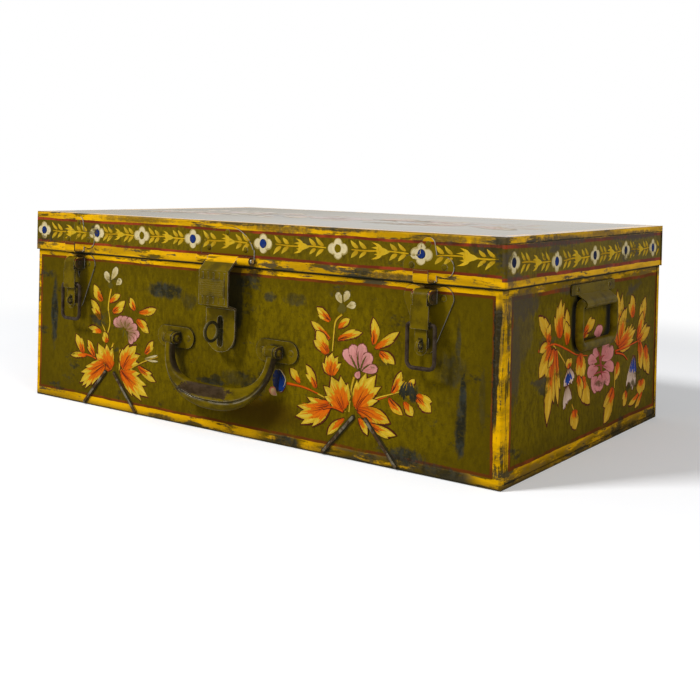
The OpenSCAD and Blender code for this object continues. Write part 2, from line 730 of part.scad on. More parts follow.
module swept_grip() {
    ring = [for (j = [0 : section_steps - 1]) 360 * j / section_steps];
    points = [for (i = [0 : path_steps]) for (f = ring) section_point(180 * i / path_steps, f)];
    sides = [for (i = [0 : path_steps - 1], j = [0 : section_steps - 1])
        let (a = i * section_steps + j, b = i * section_steps + (j + 1) % section_steps)
        each [[a, b, b + section_steps], [a, b + section_steps, a + section_steps]]];
    first = [for (j = [section_steps - 1 : -1 : 0]) j];
    last = [for (j = [0 : section_steps - 1]) path_steps * section_steps + j];
    polyhedron(points, concat(sides, [first, last]));
}
module front_handle() color(dark_olive) on_front()
    translate([handle_x, -handle_out, case_h - handle_drop]) difference() {
        union() {
            swept_grip();
            for (s = [-1, 1]) translate([s * path_half, 0, 0]) rotate([0, 90, 0])
                cylinder(r = eye_r, h = limb_w, center = true);
        }
        for (s = [-1, 1]) translate([s * path_half, 0, 0]) rotate([0, 90, 0])
            cylinder(r = handle_pin_r + pin_fit, h = 3 * limb_w, center = true);
    }

// Plate on an end panel, rolled at its lower edge around the ring's journal
module side_plate() translate([0, 0, case_h]) difference() {
    union() {
        face_plate(0, plate_t) translate([0, plate_low + plate_h / 2])
            rounded_rect(plate_w, plate_h, plate_corner_r);
        side_bar(roll_w) {
            translate([ring_out, -ring_drop]) circle(roll_out);
            bent_strip([
                [plate_t / 2, plate_low + 2],
                [plate_t / 2, -ring_drop + roll_out * 1.9],
                [ring_out + roll_mid * cos(45), -ring_drop + roll_mid * sin(45)]
            ], plate_t);
        }
    }
    translate([0, -ring_out, -ring_drop]) rotate([0, 90, 0])
        cylinder(r = roll_in, h = roll_w + 2, center = true);
    translate([0, 0, -case_h]) at_rivets(plate_rivets) rivet_hole();
}
module side_plate_right() color(olive) on_right() side_plate();
module side_plate_left() color(olive) on_left() side_plate();

// Half-round section of the ring: across the bar, then outwards
module ring_section() intersection() {
    translate([0, ring_back + ring_bar_t - ring_bar_w / 2]) circle(ring_bar_w / 2);
    translate([-ring_bar_w, ring_back]) square([2 * ring_bar_w, 2 * ring_bar_t]);
}
module ring_corner(bend, a) rotate([90, 0, 0]) rotate([0, 0, a]) rotate_extrude(angle = 90)
    translate([bend, 0]) ring_section();

module side_ring() translate([0, 0, case_h - ring_drop]) {
    low = -ring_len + ring_bar_w / 2;
    low_flat = ring_limb - ring_low_bend;
    top_flat = ring_limb - ring_top_bend;
    for (s = [0, 1]) mirror([s, 0, 0]) {
        translate([ring_limb, 0, low + ring_low_bend])
            linear_extrude(-low - ring_low_bend - ring_top_bend) mirror([0, 1]) ring_section();
        translate([low_flat, 0, low + ring_low_bend]) ring_corner(ring_low_bend, -90);
        translate([top_flat, 0, -ring_top_bend]) ring_corner(ring_top_bend, 0);
    }
    translate([0, 0, low]) rotate([90, 0, 90]) linear_extrude(2 * low_flat, center = true)
        rotate([0, 0, 90]) ring_section();
    translate([0, -ring_out, 0]) rotate([0, 90, 0])
        cylinder(r = journal_r, h = 2 * top_flat + 1, center = true);
}
module side_ring_right() color(dark_olive) on_right() side_ring();
module side_ring_left() color(dark_olive) on_left() side_ring();

// One leaf of a rear hinge, with every second knuckle from the first one given
module hinge_leaf_part(first, out, up, places) difference() {
    union() {
        face_plate(out, plate_steel_t) translate([0, up * (hinge_start + hinge_leaf) / 2])
            rounded_rect(hinge_w, hinge_leaf - hinge_start, plate_corner_r);
        for (i = [first : 2 : hinge_knuckles - 1])
            translate([(i - (hinge_knuckles - 1) / 2) * knuckle_pitch, 0, 0])
                side_bar(knuckle_pitch - side_gap) {
                    translate([hinge_out, 0]) circle(hinge_knuckle_r);
                    bent_strip([
                        [out + plate_steel_t / 2, up * (hinge_start + plate_corner_r + 1)],
                        [out + plate_steel_t / 2, up * (hinge_start - 0.5)],
                        [hinge_out - 1, up * (hinge_knuckle_r - plate_steel_t / 2)],
                        [hinge_out, up * (hinge_knuckle_r - plate_steel_t / 2)]
                    ], plate_steel_t);
                }
    }
    translate([0, -hinge_out, 0]) rotate([0, 90, 0]) cylinder(r = bore_r, h = hinge_w + 2, center = true);
    translate([0, 0, -case_h]) at_rivets(places) rivet_hole();
}
module hinge_leaf_case_at(x) color(worn_steel) on_back() translate([x, 0, case_h])
    hinge_leaf_part(0, 0, -1, hinge_case_rivets);
module hinge_leaf_lid_at(x) color(worn_steel) on_back() translate([x, 0, case_h])
    hinge_leaf_part(1, lid_out, 1, hinge_lid_rivets);
module hinge_leaf_case_left() hinge_leaf_case_at(hinge_x);
module hinge_leaf_case_right() hinge_leaf_case_at(-hinge_x);
module hinge_leaf_lid_left() hinge_leaf_lid_at(hinge_x);
module hinge_leaf_lid_right() hinge_leaf_lid_at(-hinge_x);

module hinge_pins() color(bright_steel) on_back() at_hinges()
    translate([0, -hinge_out, case_h]) rotate([0, 90, 0]) {
        cylinder(r = pin_r, h = hinge_w + pin_head_h, center = true);
        for (s = [-1, 1]) translate([0, 0, s * (hinge_w + pin_head_h) / 2])
            cylinder(r = pin_head_r, h = pin_head_h, center = true);
    }

case_wrap();
case_end_left();
case_end_right();
case_rivets();
latch_base_left();
latch_base_right();
latch_pins();
hasp_staple();
handle_lug_left();
handle_lug_right();
handle_pins();
side_plate_left();
side_plate_right();
hinge_leaf_case_left();
hinge_leaf_case_right();
hinge_pins();
lid_wrap();
lid_end_left();
lid_end_right();
lid_rivets();
catch_left();
catch_right();
hasp_plate();
hasp_pin();
hinge_leaf_lid_left();
hinge_leaf_lid_right();
hasp_strap();
hasp_badge();
latch_lever_left();
latch_lever_right();
latch_bail_left();
latch_bail_right();
front_handle();
side_ring_left();
side_ring_right();
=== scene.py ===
"""Looks for the painted steel trunk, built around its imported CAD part."""
import math
import random

import bmesh
import bpy
from mathutils import Matrix, Vector
from mathutils.bvhtree import BVHTree


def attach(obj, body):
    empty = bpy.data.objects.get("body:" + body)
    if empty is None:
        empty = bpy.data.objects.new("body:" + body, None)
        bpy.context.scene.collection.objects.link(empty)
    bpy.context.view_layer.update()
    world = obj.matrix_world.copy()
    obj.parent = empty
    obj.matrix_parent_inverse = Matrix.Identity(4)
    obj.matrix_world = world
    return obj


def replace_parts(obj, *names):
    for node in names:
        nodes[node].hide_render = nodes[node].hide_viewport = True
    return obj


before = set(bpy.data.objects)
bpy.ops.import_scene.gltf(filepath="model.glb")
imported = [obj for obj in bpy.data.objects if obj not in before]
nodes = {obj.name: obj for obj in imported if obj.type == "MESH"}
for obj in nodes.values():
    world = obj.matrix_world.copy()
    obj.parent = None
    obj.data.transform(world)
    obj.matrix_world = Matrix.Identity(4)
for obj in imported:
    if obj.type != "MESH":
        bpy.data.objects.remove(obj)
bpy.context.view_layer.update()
MM = 0.001
rng = random.Random(11)

# Camera, solved from the corners of the trunk in the photograph
FOCAL_PX, FRAME_PX = 1078.59, 700.0
CENTRE_PX = (304.1, 191.4)
SENSOR = 36.0
CAMERA_AT = (0.70332, -1.00700, 0.26095)
YAW, PITCH, ROLL = (math.radians(a) for a in (37.04, 0.862, 1.187))

# Faces of the sheet metal, in mm
CASE_X, CASE_Y, CASE_TOP = 298.0, 190.5, 169.0
LID_X, LID_Y, LID_TOP = 300.0, 192.5, 213.0
END_X, LID_END_X = 297.2, 299.2

# Where a mask of one face of the sheet starts and is full: coordinate, and its two values in mm
CASE_FRONT, CASE_RIGHT = ("y", -189.0, -190.0), ("x", 296.0, 297.0)
LID_FRONT, LID_RIGHT = ("y", -191.0, -192.0), ("x", 298.0, 299.0)

# Painted frame of the case: width of the yellow at each upright corner, seen from either of its faces
CORNER_BANDS = (("right", 7.4, "front", 16.5), ("left", 5.4, "front", 12.0),
                ("right", 9.0, "back", 8.0), ("left", 9.0, "back", 9.0))
# Heights where level yellow bands end, on the long sides and on the ends
FOOT_BAND, CASE_TOP_BAND, LID_LOW_BAND, LID_HIGH_BAND = (10.0, 13.3), (163.2, 161.4), (178.3, 175.4), 205.8
LID_TOP_BAND = 13.0
LINE_WIDTH = (2.9, 3.6)

# Paint and metal colours, linear
OLIVE = (0.120, 0.081, 0.0010)
OLIVE_DARK = (0.062, 0.042, 0.0016)
OLIVE_LIGHT = (0.168, 0.117, 0.0012)
OLIVE_SHADE = (0.046, 0.024, 0.0015)
YELLOW = (0.68, 0.36, 0.001)
YELLOW_DEEP = (0.40, 0.215, 0.001)
MAROON = (0.125, 0.020, 0.006)
ORANGE_RED = (0.24, 0.036, 0.010)
# Dark tone of dirt, also used for painted shade in hollows, gaps and under fittings
GRIME_AND_SHADE = (0.017, 0.016, 0.009)
SLATE = (0.030, 0.031, 0.023)
SMEAR = (0.064, 0.050, 0.036)
RUST = (0.050, 0.028, 0.014)
BROWN = (0.088, 0.060, 0.032)
GRIP_BROWN, GRIP_BROWN_LIGHT = (0.021, 0.012, 0.006), (0.044, 0.027, 0.015)
STEEL = (0.23, 0.21, 0.17)
# Rubbed steel of worn edges, also used for painted highlights; the paler steel is used only for painted highlights
RUBBED_STEEL_AND_HIGHLIGHT, HIGHLIGHT_STEEL = (0.34, 0.31, 0.24), (0.50, 0.46, 0.40)
RIB_STEEL = (0.150, 0.132, 0.090)
INSIDE = (0.085, 0.075, 0.045)

# Specular level of each finish: low, since the studio is white all round
CASE_GLOSS, LID_GLOSS, FITTING_GLOSS, HANDLE_GLOSS, STEEL_GLOSS = 0.005, 0.026, 0.022, 0.016, 0.04
EVEN = (1, 1, 1)


def add_node(tree, kind, inputs=(), **props):
    """New node with these properties; inputs are numbers, colours or sockets, None for one left alone."""
    made = tree.nodes.new(kind)
    for key, value in props.items():
        setattr(made, key, value)
    for socket, value in zip(made.inputs, inputs):
        if value is not None:
            feed(tree, socket, value)
    return made


def feed(tree, socket, value):
    """Links a socket to another one, or sets its number or colour."""
    value = getattr(value, "socket", value)
    if isinstance(value, bpy.types.NodeSocket):
        tree.links.new(value, socket)
    elif isinstance(value, tuple) and socket.type == "RGBA":
        socket.default_value = (*value[:3], 1.0)
    else:
        socket.default_value = value


class Value:
    """A number or colour that varies over a material; its arithmetic makes math nodes."""

    def __init__(self, look, socket):
        self.look, self.socket = look, socket

    def __add__(self, other):
        return self.look.math("ADD", self, other)

    def __radd__(self, other):
        return self.look.math("ADD", other, self)

    def __sub__(self, other):
        return self.look.math("SUBTRACT", self, other)

    def __rsub__(self, other):
        return self.look.math("SUBTRACT", other, self)

    def __mul__(self, other):
        return self.look.math("MULTIPLY", self, other)

    def __abs__(self):
        return self.look.math("ABSOLUTE", self)

    def step(self, low, high, a=0.0, b=1.0):
        """Goes smoothly from a to b while the number goes from low to high."""
        made = self.look.node("ShaderNodeMapRange", (self, low, high, a, b), interpolation_type="SMOOTHSTEP")
        return Value(self.look, made.outputs[0])


class Look:
    """A material under construction, its coat being the colour so far; lengths are in millimetres."""

    def __init__(self, name):
        self.mat = bpy.data.materials.new(name)
        self.mat.use_nodes = True
        self.tree = self.mat.node_tree
        self.tree.nodes.clear()
        self.bsdf = self.node("ShaderNodeBsdfPrincipled")
        self.node("ShaderNodeOutputMaterial", (self.bsdf.outputs[0],))
        self.at = self.vmath("MULTIPLY", self.node("ShaderNodeTexCoord").outputs["Object"], (1.0 / MM,) * 3)
        self.x, self.y, self.z = self.split(self.at)
        self.coat = None

    def node(self, kind, inputs=(), **props):
        return add_node(self.tree, kind, inputs, **props)

    def math(self, op, a, b=0.0):
        return Value(self, self.node("ShaderNodeMath", (a, b), operation=op).outputs[0])

    def vmath(self, op, a, b):
        made = self.node("ShaderNodeVectorMath", (a, b), operation=op)
        return Value(self, made.outputs["Value" if op == "DOT_PRODUCT" else "Vector"])

    def split(self, vector):
        return [Value(self, part) for part in self.node("ShaderNodeSeparateXYZ", (vector,)).outputs]

    def facing(self, kind="True Normal"):
        """How far the surface looks along x, y and z."""
        return self.split(self.node("ShaderNodeNewGeometry").outputs[kind])

    def painted(self, attribute):
        """A colour attribute of the mesh."""
        return Value(self, self.node("ShaderNodeAttribute", attribute_name=attribute).outputs["Color"])

    def noise(self, size, stretch, detail, rough, shift, warp=0.0):
        """Noise whose features are about size mm, longer along an axis by its stretch."""
        place = self.vmath("MULTIPLY", self.at, tuple(1.0 / (size * s) for s in stretch))
        place = self.vmath("ADD", place, (shift, shift * 1.7, -shift))
        made = self.node("ShaderNodeTexNoise")
        for key, value in (("Vector", place), ("Scale", 1.0), ("Detail", detail), ("Roughness", rough),
                           ("Distortion", warp)):
            feed(self.tree, made.inputs[key], value)
        return Value(self, made.outputs[0])

    def mix(self, part, a, b):
        """a where part is 0, b where it is 1."""
        made = self.node("ShaderNodeMix", data_type="RGBA")
        for index, value in ((0, part), (6, a), (7, b)):
            feed(self.tree, made.inputs[index], value)
        return Value(self, made.outputs[2])

    def cover(self, part, tone):
        """Lays a tone over the coat where part is 1."""
        self.coat = self.mix(part, self.coat, tone)

    def most(self, *values, op="MAXIMUM"):
        top = values[0]
        for value in values[1:]:
            top = self.math(op, top, value)
        return top

    def least(self, *values):
        return self.most(*values, op="MINIMUM")

    def on(self, face):
        """1 on one outer face of the sheet."""
        axis, start, full = face
        return getattr(self, axis).step(start, full)

    def edges(self, radius, low, high):
        """Mask of the outer and inner edges of a piece, from a rounded normal."""
        bevel = self.node("ShaderNodeBevel", (radius * MM,), samples=6)
        plain = self.node("ShaderNodeNewGeometry").outputs["Normal"]
        return self.vmath("DOT_PRODUCT", bevel.outputs[0], plain).step(1.0 - low, 1.0 - high)

    def hollow_shade(self, reach, open_at, shut_at):
        """Mask of hollows and corners, where shade is painted in."""
        made = self.node("ShaderNodeAmbientOcclusion", (None, reach * MM), samples=8)
        return Value(self, made.outputs["AO"]).step(open_at, shut_at)

    def spot(self, u, v, where):
        """Soft ragged patch in the plane of u and v: centre, half sizes and strength."""
        (cu, cv, ru, rv, strength) = where
        soft = (self.oval(u, v, cu, cv, ru, rv) + self.ragged * 3.4).step(1.5, 0.35, 0.0, strength)
        return soft * self.broken

    @staticmethod
    def oval(u, v, cu, cv, ru, rv):
        """Square of the distance from a centre, 1 on the oval with these half sizes."""
        du, dv = (u - cu) * (1.0 / ru), (v - cv) * (1.0 / rv)
        return du * du + dv * dv

    def finish(self, rough, bump, metal, gloss, depth):
        """Joins the coat and the rest to the shader; depth is the bump's, in mm."""
        for key, value in (("Base Color", self.coat), ("Roughness", rough), ("Metallic", metal),
                           ("Specular IOR Level", gloss)):
            feed(self.tree, self.bsdf.inputs[key], value)
        if bump is not None:
            made = self.node("ShaderNodeBump")
            for key, value in (("Strength", 1.0), ("Distance", depth * MM), ("Height", bump)):
                feed(self.tree, made.inputs[key], value)
            feed(self.tree, self.bsdf.inputs["Normal"], made.outputs[0])
        return self.mat


def worn(look):
    """How far the paint is rubbed through, shared by the sheet and the flowers on it."""
    patch = look.noise(34, (1.6, 1.6, 0.7), 5, 0.62, 3.1)
    fine = look.noise(2.6, EVEN, 5, 0.7, 9.4)
    grain = look.noise(7.5, (2.4, 2.4, 0.8), 4, 0.6, 1.3)
    rubbed = (patch + fine * 0.22).step(0.70, 0.80)
    specks = (fine + grain * 0.35).step(0.80, 0.90)
    return look.most(rubbed, specks * 0.75)


def olive_field(look):
    """Hand-brushed olive enamel with its slow changes of tone."""
    cloud = look.noise(95, EVEN, 4, 0.55, 5.5)
    brush = look.noise(3.4, (1, 1, 4), 5, 0.66, 2.2, 0.6)
    blot = look.noise(11, (1, 1, 1.6), 5, 0.66, 27.0)
    grain = look.noise(1.5, (1.6, 1.6, 1), 3, 0.6, 61.0)
    mottle = look.noise(4.2, (1, 1, 1.8), 6, 0.74, 83.0)
    slow = look.mix(cloud.step(0.34, 0.66), OLIVE_DARK, OLIVE_LIGHT)
    streak = look.mix(brush.step(0.3, 0.72), OLIVE_DARK, OLIVE_LIGHT)
    look.coat = look.mix(0.28, look.mix(0.62, slow, OLIVE), streak)
    look.cover(mottle.step(0.48, 0.64, 0.0, 0.75), OLIVE_DARK)
    look.cover(mottle.step(0.46, 0.34, 0.0, 0.50), OLIVE_LIGHT)
    look.cover(grain.step(0.52, 0.72, 0.0, 0.50), OLIVE_DARK)
    look.cover(blot.step(0.50, 0.68, 0.0, 0.5), OLIVE_DARK)


def inside_of(look, half_x, half_y, low, high):
    """1 on the faces that look into the trunk."""
    in_x, in_y = abs(look.x).step(half_x, half_x - 0.1), abs(look.y).step(half_y, half_y - 0.1)
    return in_x * in_y * (look.z.step(low, low + 0.1) * look.z.step(high, high - 0.1))


def brushed_yellow(look, upright=0.0):
    """Yellow border paint and where it is thin; upright is 1 on bands that run up a corner."""
    tone = look.mix(look.noise(26, (3, 3, 0.5), 4, 0.6, 7.7).step(0.36, 0.62), YELLOW_DEEP, YELLOW)
    level_rub = look.noise(5.5, (7, 7, 0.8), 6, 0.62, 4.2)
    upright_rub = look.noise(5.5, (0.7, 0.7, 7), 6, 0.62, 6.2)
    rub = level_rub + (upright_rub - level_rub) * upright
    cloud = look.noise(42, (1.6, 1.6, 1.2), 3, 0.55, 21.0)
    fine = look.noise(1.7, (3, 3, 1.2), 4, 0.7, 8.8)
    return tone, (rub * 0.9 + cloud * 0.85 + fine * 0.28).step(1.07, 1.16)


def case_frame(look, to, ends):
    """How far inside the case's yellow frame a point lies, and where a band runs up a corner."""
    corner_in = look.least(*[look.most(to[a] - wide_a, to[b] - wide_b) for a, wide_a, b, wide_b in CORNER_BANDS])
    level_in = look.least(look.z - ends(FOOT_BAND), ends(CASE_TOP_BAND) - look.z)
    return look.least(corner_in, level_in), corner_in.step(1.5, -0.5) * level_in.step(-1.0, 3.0)


def lid_frame(look, to, ends):
    """The same for the lid: level bands on its sides and a border round its top."""
    side = look.least(look.z - ends(LID_LOW_BAND), LID_HIGH_BAND - look.z)
    top = look.least(*[way + (LID_X - CASE_X) for way in to.values()]) - LID_TOP_BAND
    return look.mix(look.z.step(LID_TOP - 0.8, LID_TOP - 0.4), side, top), 0.0


def foot_wear(look, on_end):
    """Where the case's yellow is scrubbed off: two stretches of the foot, and the ends' bands."""
    x, z = look.x, look.z
    where = look.most(x.step(90.0, 150.0) * x.step(285.0, 262.0), x.step(24.0, 48.0) * x.step(100.0, 84.0),
                      on_end * 0.75)
    scrub = look.noise(10, (3.4, 3.4, 0.7), 6, 0.66, 70.0).step(0.40, 0.50)
    upper = on_end * z.step(156.0, 160.0) * 0.8
    return look.most(z.step(16.0, 8.0) * where, upper) * scrub


def slate_strip(look, on_front):
    """Dark scraped strip up the front beside its right corner."""
    inner_edge = 293.8 + (look.z - 75.0) * 0.035
    wander = look.x + look.ragged * 5.0
    strip = wander.step(288.9, 289.5) * (wander - inner_edge).step(0.4, -0.4)
    strip = strip * (look.z.step(44.0, 58.0) * look.z.step(161.0, 150.0)) * (on_front * 0.95)
    look.cover(strip, look.mix(look.broken.step(0.6, 1.0), SLATE, GRIME_AND_SHADE))


def case_grime_and_shade(look, to, on_end, tremble):
    """Painted shadow along the case's parting line, dark sheet behind the hasp, worn steel on the ribs with darker
    flanks, and dirt along the ends' laps.
    """
    x, y, z = look.x, look.y, look.z
    # Painted shadow under the lid's overhang along the top of the case, weaker towards the left end
    past_left = x.step(-262.0, -235.0, 0.35, 1.0)
    look.cover((z + tremble * 0.4).step(167.2, 168.0) * past_left, GRIME_AND_SHADE)
    # Dark sheet behind the hasp: painted shade seen through its open side, and sheet left unpainted under it
    wide = z.step(100.0, 118.0, 12.0, 19.0)
    hasp_shade = (abs(x + 6.0) - wide + look.ragged * 16.0).step(3.0, -2.0)
    look.cover(hasp_shade * (z.step(84.0, 112.0) * look.on(CASE_FRONT)) * 0.8, GRIME_AND_SHADE)
    rib_tone = look.mix(look.noise(7, EVEN, 4, 0.6, 44.0).step(0.44, 0.60), RUST, RIB_STEEL)
    rib_tone = look.mix(y.step(-192.3, -192.6), GRIME_AND_SHADE, rib_tone)
    look.cover(y.step(-191.2, -191.7) * z.step(48.0, 44.0) * 0.95, rib_tone)
    seam = on_end * to["front"].step(6.8, 7.3) * to["front"].step(8.3, 7.7)
    look.cover(seam * look.noise(12, EVEN, 3, 0.6, 40.0).step(0.36, 0.5) * 0.8, GRIME_AND_SHADE)


def lid_grime_and_shade(look, on_end):
    """Dirt in the fold of the lid's ends, and painted shadow of the gap on its lower lip."""
    fold = on_end * look.z.step(206.1, 206.5) * look.z.step(207.7, 207.3)
    look.cover(fold * look.noise(14, EVEN, 3, 0.6, 40.0).step(0.34, 0.46) * 0.85, GRIME_AND_SHADE)
    # Painted shadow of the gap below the lid, on its lower lip
    look.cover(look.z.step(170.1, 169.5, 0.0, 0.9), GRIME_AND_SHADE)


def sheet(name, is_case, spots):
    """Painted sheet of the case or the lid: olive field, yellow borders, maroon lines, wear, and painted shade and
    shadow.
    """
    look = Look(name)
    x, y, z = look.x, look.y, look.z
    look.ragged = look.noise(5, (1.3, 1.3, 2.6), 6, 0.7, 6.6) - 0.5
    look.broken = look.noise(1.8, (2.2, 2.2, 1), 5, 0.72, 51.0).step(0.34, 0.52, 0.55, 1.0)
    sway = (look.noise(60, EVEN, 2, 0.5, 12.1) - 0.5) * 3.0
    tremble = (look.noise(4, (2, 2, 2), 3, 0.6, 2.1) - 0.5) * 1.1
    to = {"right": CASE_X - x, "left": CASE_X + x, "front": CASE_Y + y, "back": CASE_Y - y}
    on_end, on_front = abs(x).step(*CASE_RIGHT[1:]), abs(y).step(188.5, 189.5)

    def ends(pair):
        """A length that differs between the long sides and the ends."""
        return on_end.step(0.0, 1.0, *pair)

    frame_in, upright = (case_frame if is_case else lid_frame)(look, to, ends)
    frame_in = frame_in + (sway + tremble)
    in_band = frame_in.step(0.3, -0.3)
    olive_field(look)
    # Painted shade: the front darkens towards both ends
    look.cover(abs(x - 15.0).step(150.0, 290.0, 0.0, 0.62) * on_front, OLIVE_DARK)
    yellow, thin = brushed_yellow(look, upright)
    if is_case:
        # Painted shadow of the handle on the front below it
        handle_shadow = look.oval(x, z, 35.0, 29.0, 54.0, 19.0).step(1.5, 0.1, 0.0, 0.9)
        look.cover(handle_shadow * look.on(CASE_FRONT), OLIVE_SHADE)
        thin = look.most(thin, foot_wear(look, on_end))
    under = look.mix(look.noise(9, (3, 3, 1), 4, 0.6, 33.0).step(0.42, 0.58), OLIVE_DARK, SLATE)
    look.cover(in_band, look.mix(thin * 0.92, yellow, under))
    fade = look.noise(16, (3, 3, 2), 4, 0.62, 14.2).step(0.56, 0.66, 1.0, 0.25)
    in_line = frame_in.step(-0.35, 0.15) * (frame_in - ends(LINE_WIDTH)).step(0.0, -0.7) * fade
    look.cover(in_line, look.mix(look.noise(34, EVEN, 3, 0.6, 18.4).step(0.46, 0.62), MAROON, ORANGE_RED))
    if is_case:
        stale = (frame_in + look.ragged * 30.0).step(22.0, 2.0, 0.0, 0.4)
        look.cover(stale * (1.0 - in_band), OLIVE_DARK)
    rubbed = worn(look)
    dirt = rubbed * 0.8
    for across_axis, face, patches in spots:
        on_face = look.on(face)
        for patch in patches:
            dirt = look.most(dirt, look.spot(getattr(look, across_axis), z, patch) * on_face)
    dirt_tone = look.mix(look.noise(5, (1, 1, 2), 4, 0.6, 3.3).step(0.42, 0.62), GRIME_AND_SHADE, SLATE)
    look.cover(dirt, look.mix(on_end * z.step(60.0, 90.0, 0.0, 0.85), dirt_tone, SMEAR))
    if is_case:
        slate_strip(look, on_front)
    rim_wear = look.edges(1.4, 0.03, 0.12) * look.noise(5, EVEN, 5, 0.65, 17.0).step(0.44, 0.58)
    look.cover(rim_wear * 0.8, RUST)
    # Painted shade round the fittings and in corners and gaps
    look.cover(look.hollow_shade(12, 0.90, 0.42) * 0.88, GRIME_AND_SHADE)
    if is_case:
        case_grime_and_shade(look, to, on_end, tremble)
        inner = inside_of(look, 297.15, 190.1, 0.4, 400.0)
    else:
        lid_grime_and_shade(look, on_end)
        inner = inside_of(look, 299.15, 192.1, 0.0, 212.6)
    lining = look.mix(look.noise(40, EVEN, 5, 0.6, 30.0).step(0.35, 0.7), INSIDE, OLIVE_DARK)
    look.cover(inner, look.mix(rubbed * 0.7, lining, RUST))
    rough = (dirt * 0.4 + look.noise(18, EVEN, 3, 0.5, 2.0) * 0.5).step(0.1, 0.9, 0.34, 0.62)
    relief = look.noise(2.4, (5, 5, 7), 3, 0.5, 2.2) * 0.30 + look.noise(70, EVEN, 2, 0.5, 1.0) * 6.0
    relief = relief - dirt * 0.35 + in_band * (0.3 - thin * 0.3)
    if is_case:
        look.cover(z.step(0.35, 0.15), look.mix(rubbed.step(0.0, 1.0), OLIVE_DARK, RUST))
    else:
        flat = z.step(LID_TOP - 0.4, LID_TOP - 0.1)
        film = x.step(-280.0, 60.0, 0.20, 0.13) + look.noise(30, (6, 1, 1), 4, 0.6, 55.0) * 0.03
        rough = rough * (1.0 - flat) + film * flat
        relief = relief * flat.step(0.0, 1.0, 1.0, 0.15)
    return look.finish(rough, relief, 0.0, CASE_GLOSS if is_case else LID_GLOSS, 0.14)


def hardware(name, wear, bands="", tone=OLIVE_DARK, edge=0.8, shade_reach=2.5, sides=True, right_rim_highlight=0.0,
             rim_width=0.6):
    """Fittings painted over by hand, bare on their flanks and rubbed bright on their edges, with painted shade in
    their hollows and, where asked, a painted highlight on rims that face right.
    """
    look = Look(name)
    z = look.z
    look.coat = look.mix(look.noise(14, EVEN, 5, 0.62, 3.0).step(0.34, 0.6), tone, OLIVE)
    if bands:
        yellow, thin = brushed_yellow(look)
        on = z.step(173.0, 173.7)
        if bands == "bands":
            on = look.most(z.step(162.4, 163.2) * z.step(178.9, 178.1), z.step(205.2, 206.0))
        look.cover(on, look.mix(thin * 0.8, yellow, OLIVE_DARK))
        if bands == "bands":
            lines = [z.step(low - 0.3, low + 0.3) * z.step(low + 2.8, low + 2.2) for low in (160.6, 178.5, 203.1)]
            look.cover(look.most(*lines) * 0.9, MAROON)
    rub = look.noise(6.5, (1, 1, 1.4), 6, 0.68, 8.1)
    fine = look.noise(1.4, EVEN, 4, 0.7, 2.9)
    both = rub + fine * 0.3
    bare = both.step(0.86 - 0.2 * wear, 0.95 - 0.2 * wear)
    look.cover(bare * 0.75, look.mix(fine.step(0.35, 0.65), RUST, BROWN))
    if sides or right_rim_highlight:
        out_x = look.facing()[0]
        flank = abs(out_x).step(0.75, 0.95) * rub.step(0.30, 0.42, 0.6, 0.85)
        look.cover(flank, look.mix(rub.step(0.42, 0.6), GRIME_AND_SHADE, RUST))
    # Painted shade in hollows and where parts meet
    look.cover(look.hollow_shade(shade_reach, 0.84, 0.40) * 0.9, GRIME_AND_SHADE)
    rim = look.edges(rim_width, 0.10, 0.30) * both.step(0.50, 0.70) * edge
    look.cover(rim, RUBBED_STEEL_AND_HIGHLIGHT)
    # Painted highlight on rims that face right, within about 2 mm of the sheet
    if right_rim_highlight:
        near_sheet = (look.y + (CASE_Y if sides else LID_Y)).step(-2.4, -2.0)
        bright = out_x.step(0.15, 0.4) * rub.step(0.36, 0.48, 0.15, 1.0) * near_sheet * right_rim_highlight
        look.cover(bright, HIGHLIGHT_STEEL)
    rough = (rub + bare * 0.3).step(0.3, 1.0, 0.30, 0.5)
    return look.finish(rough, fine * 0.8 - bare * 0.5, rim * 0.5, FITTING_GLOSS, 0.12)


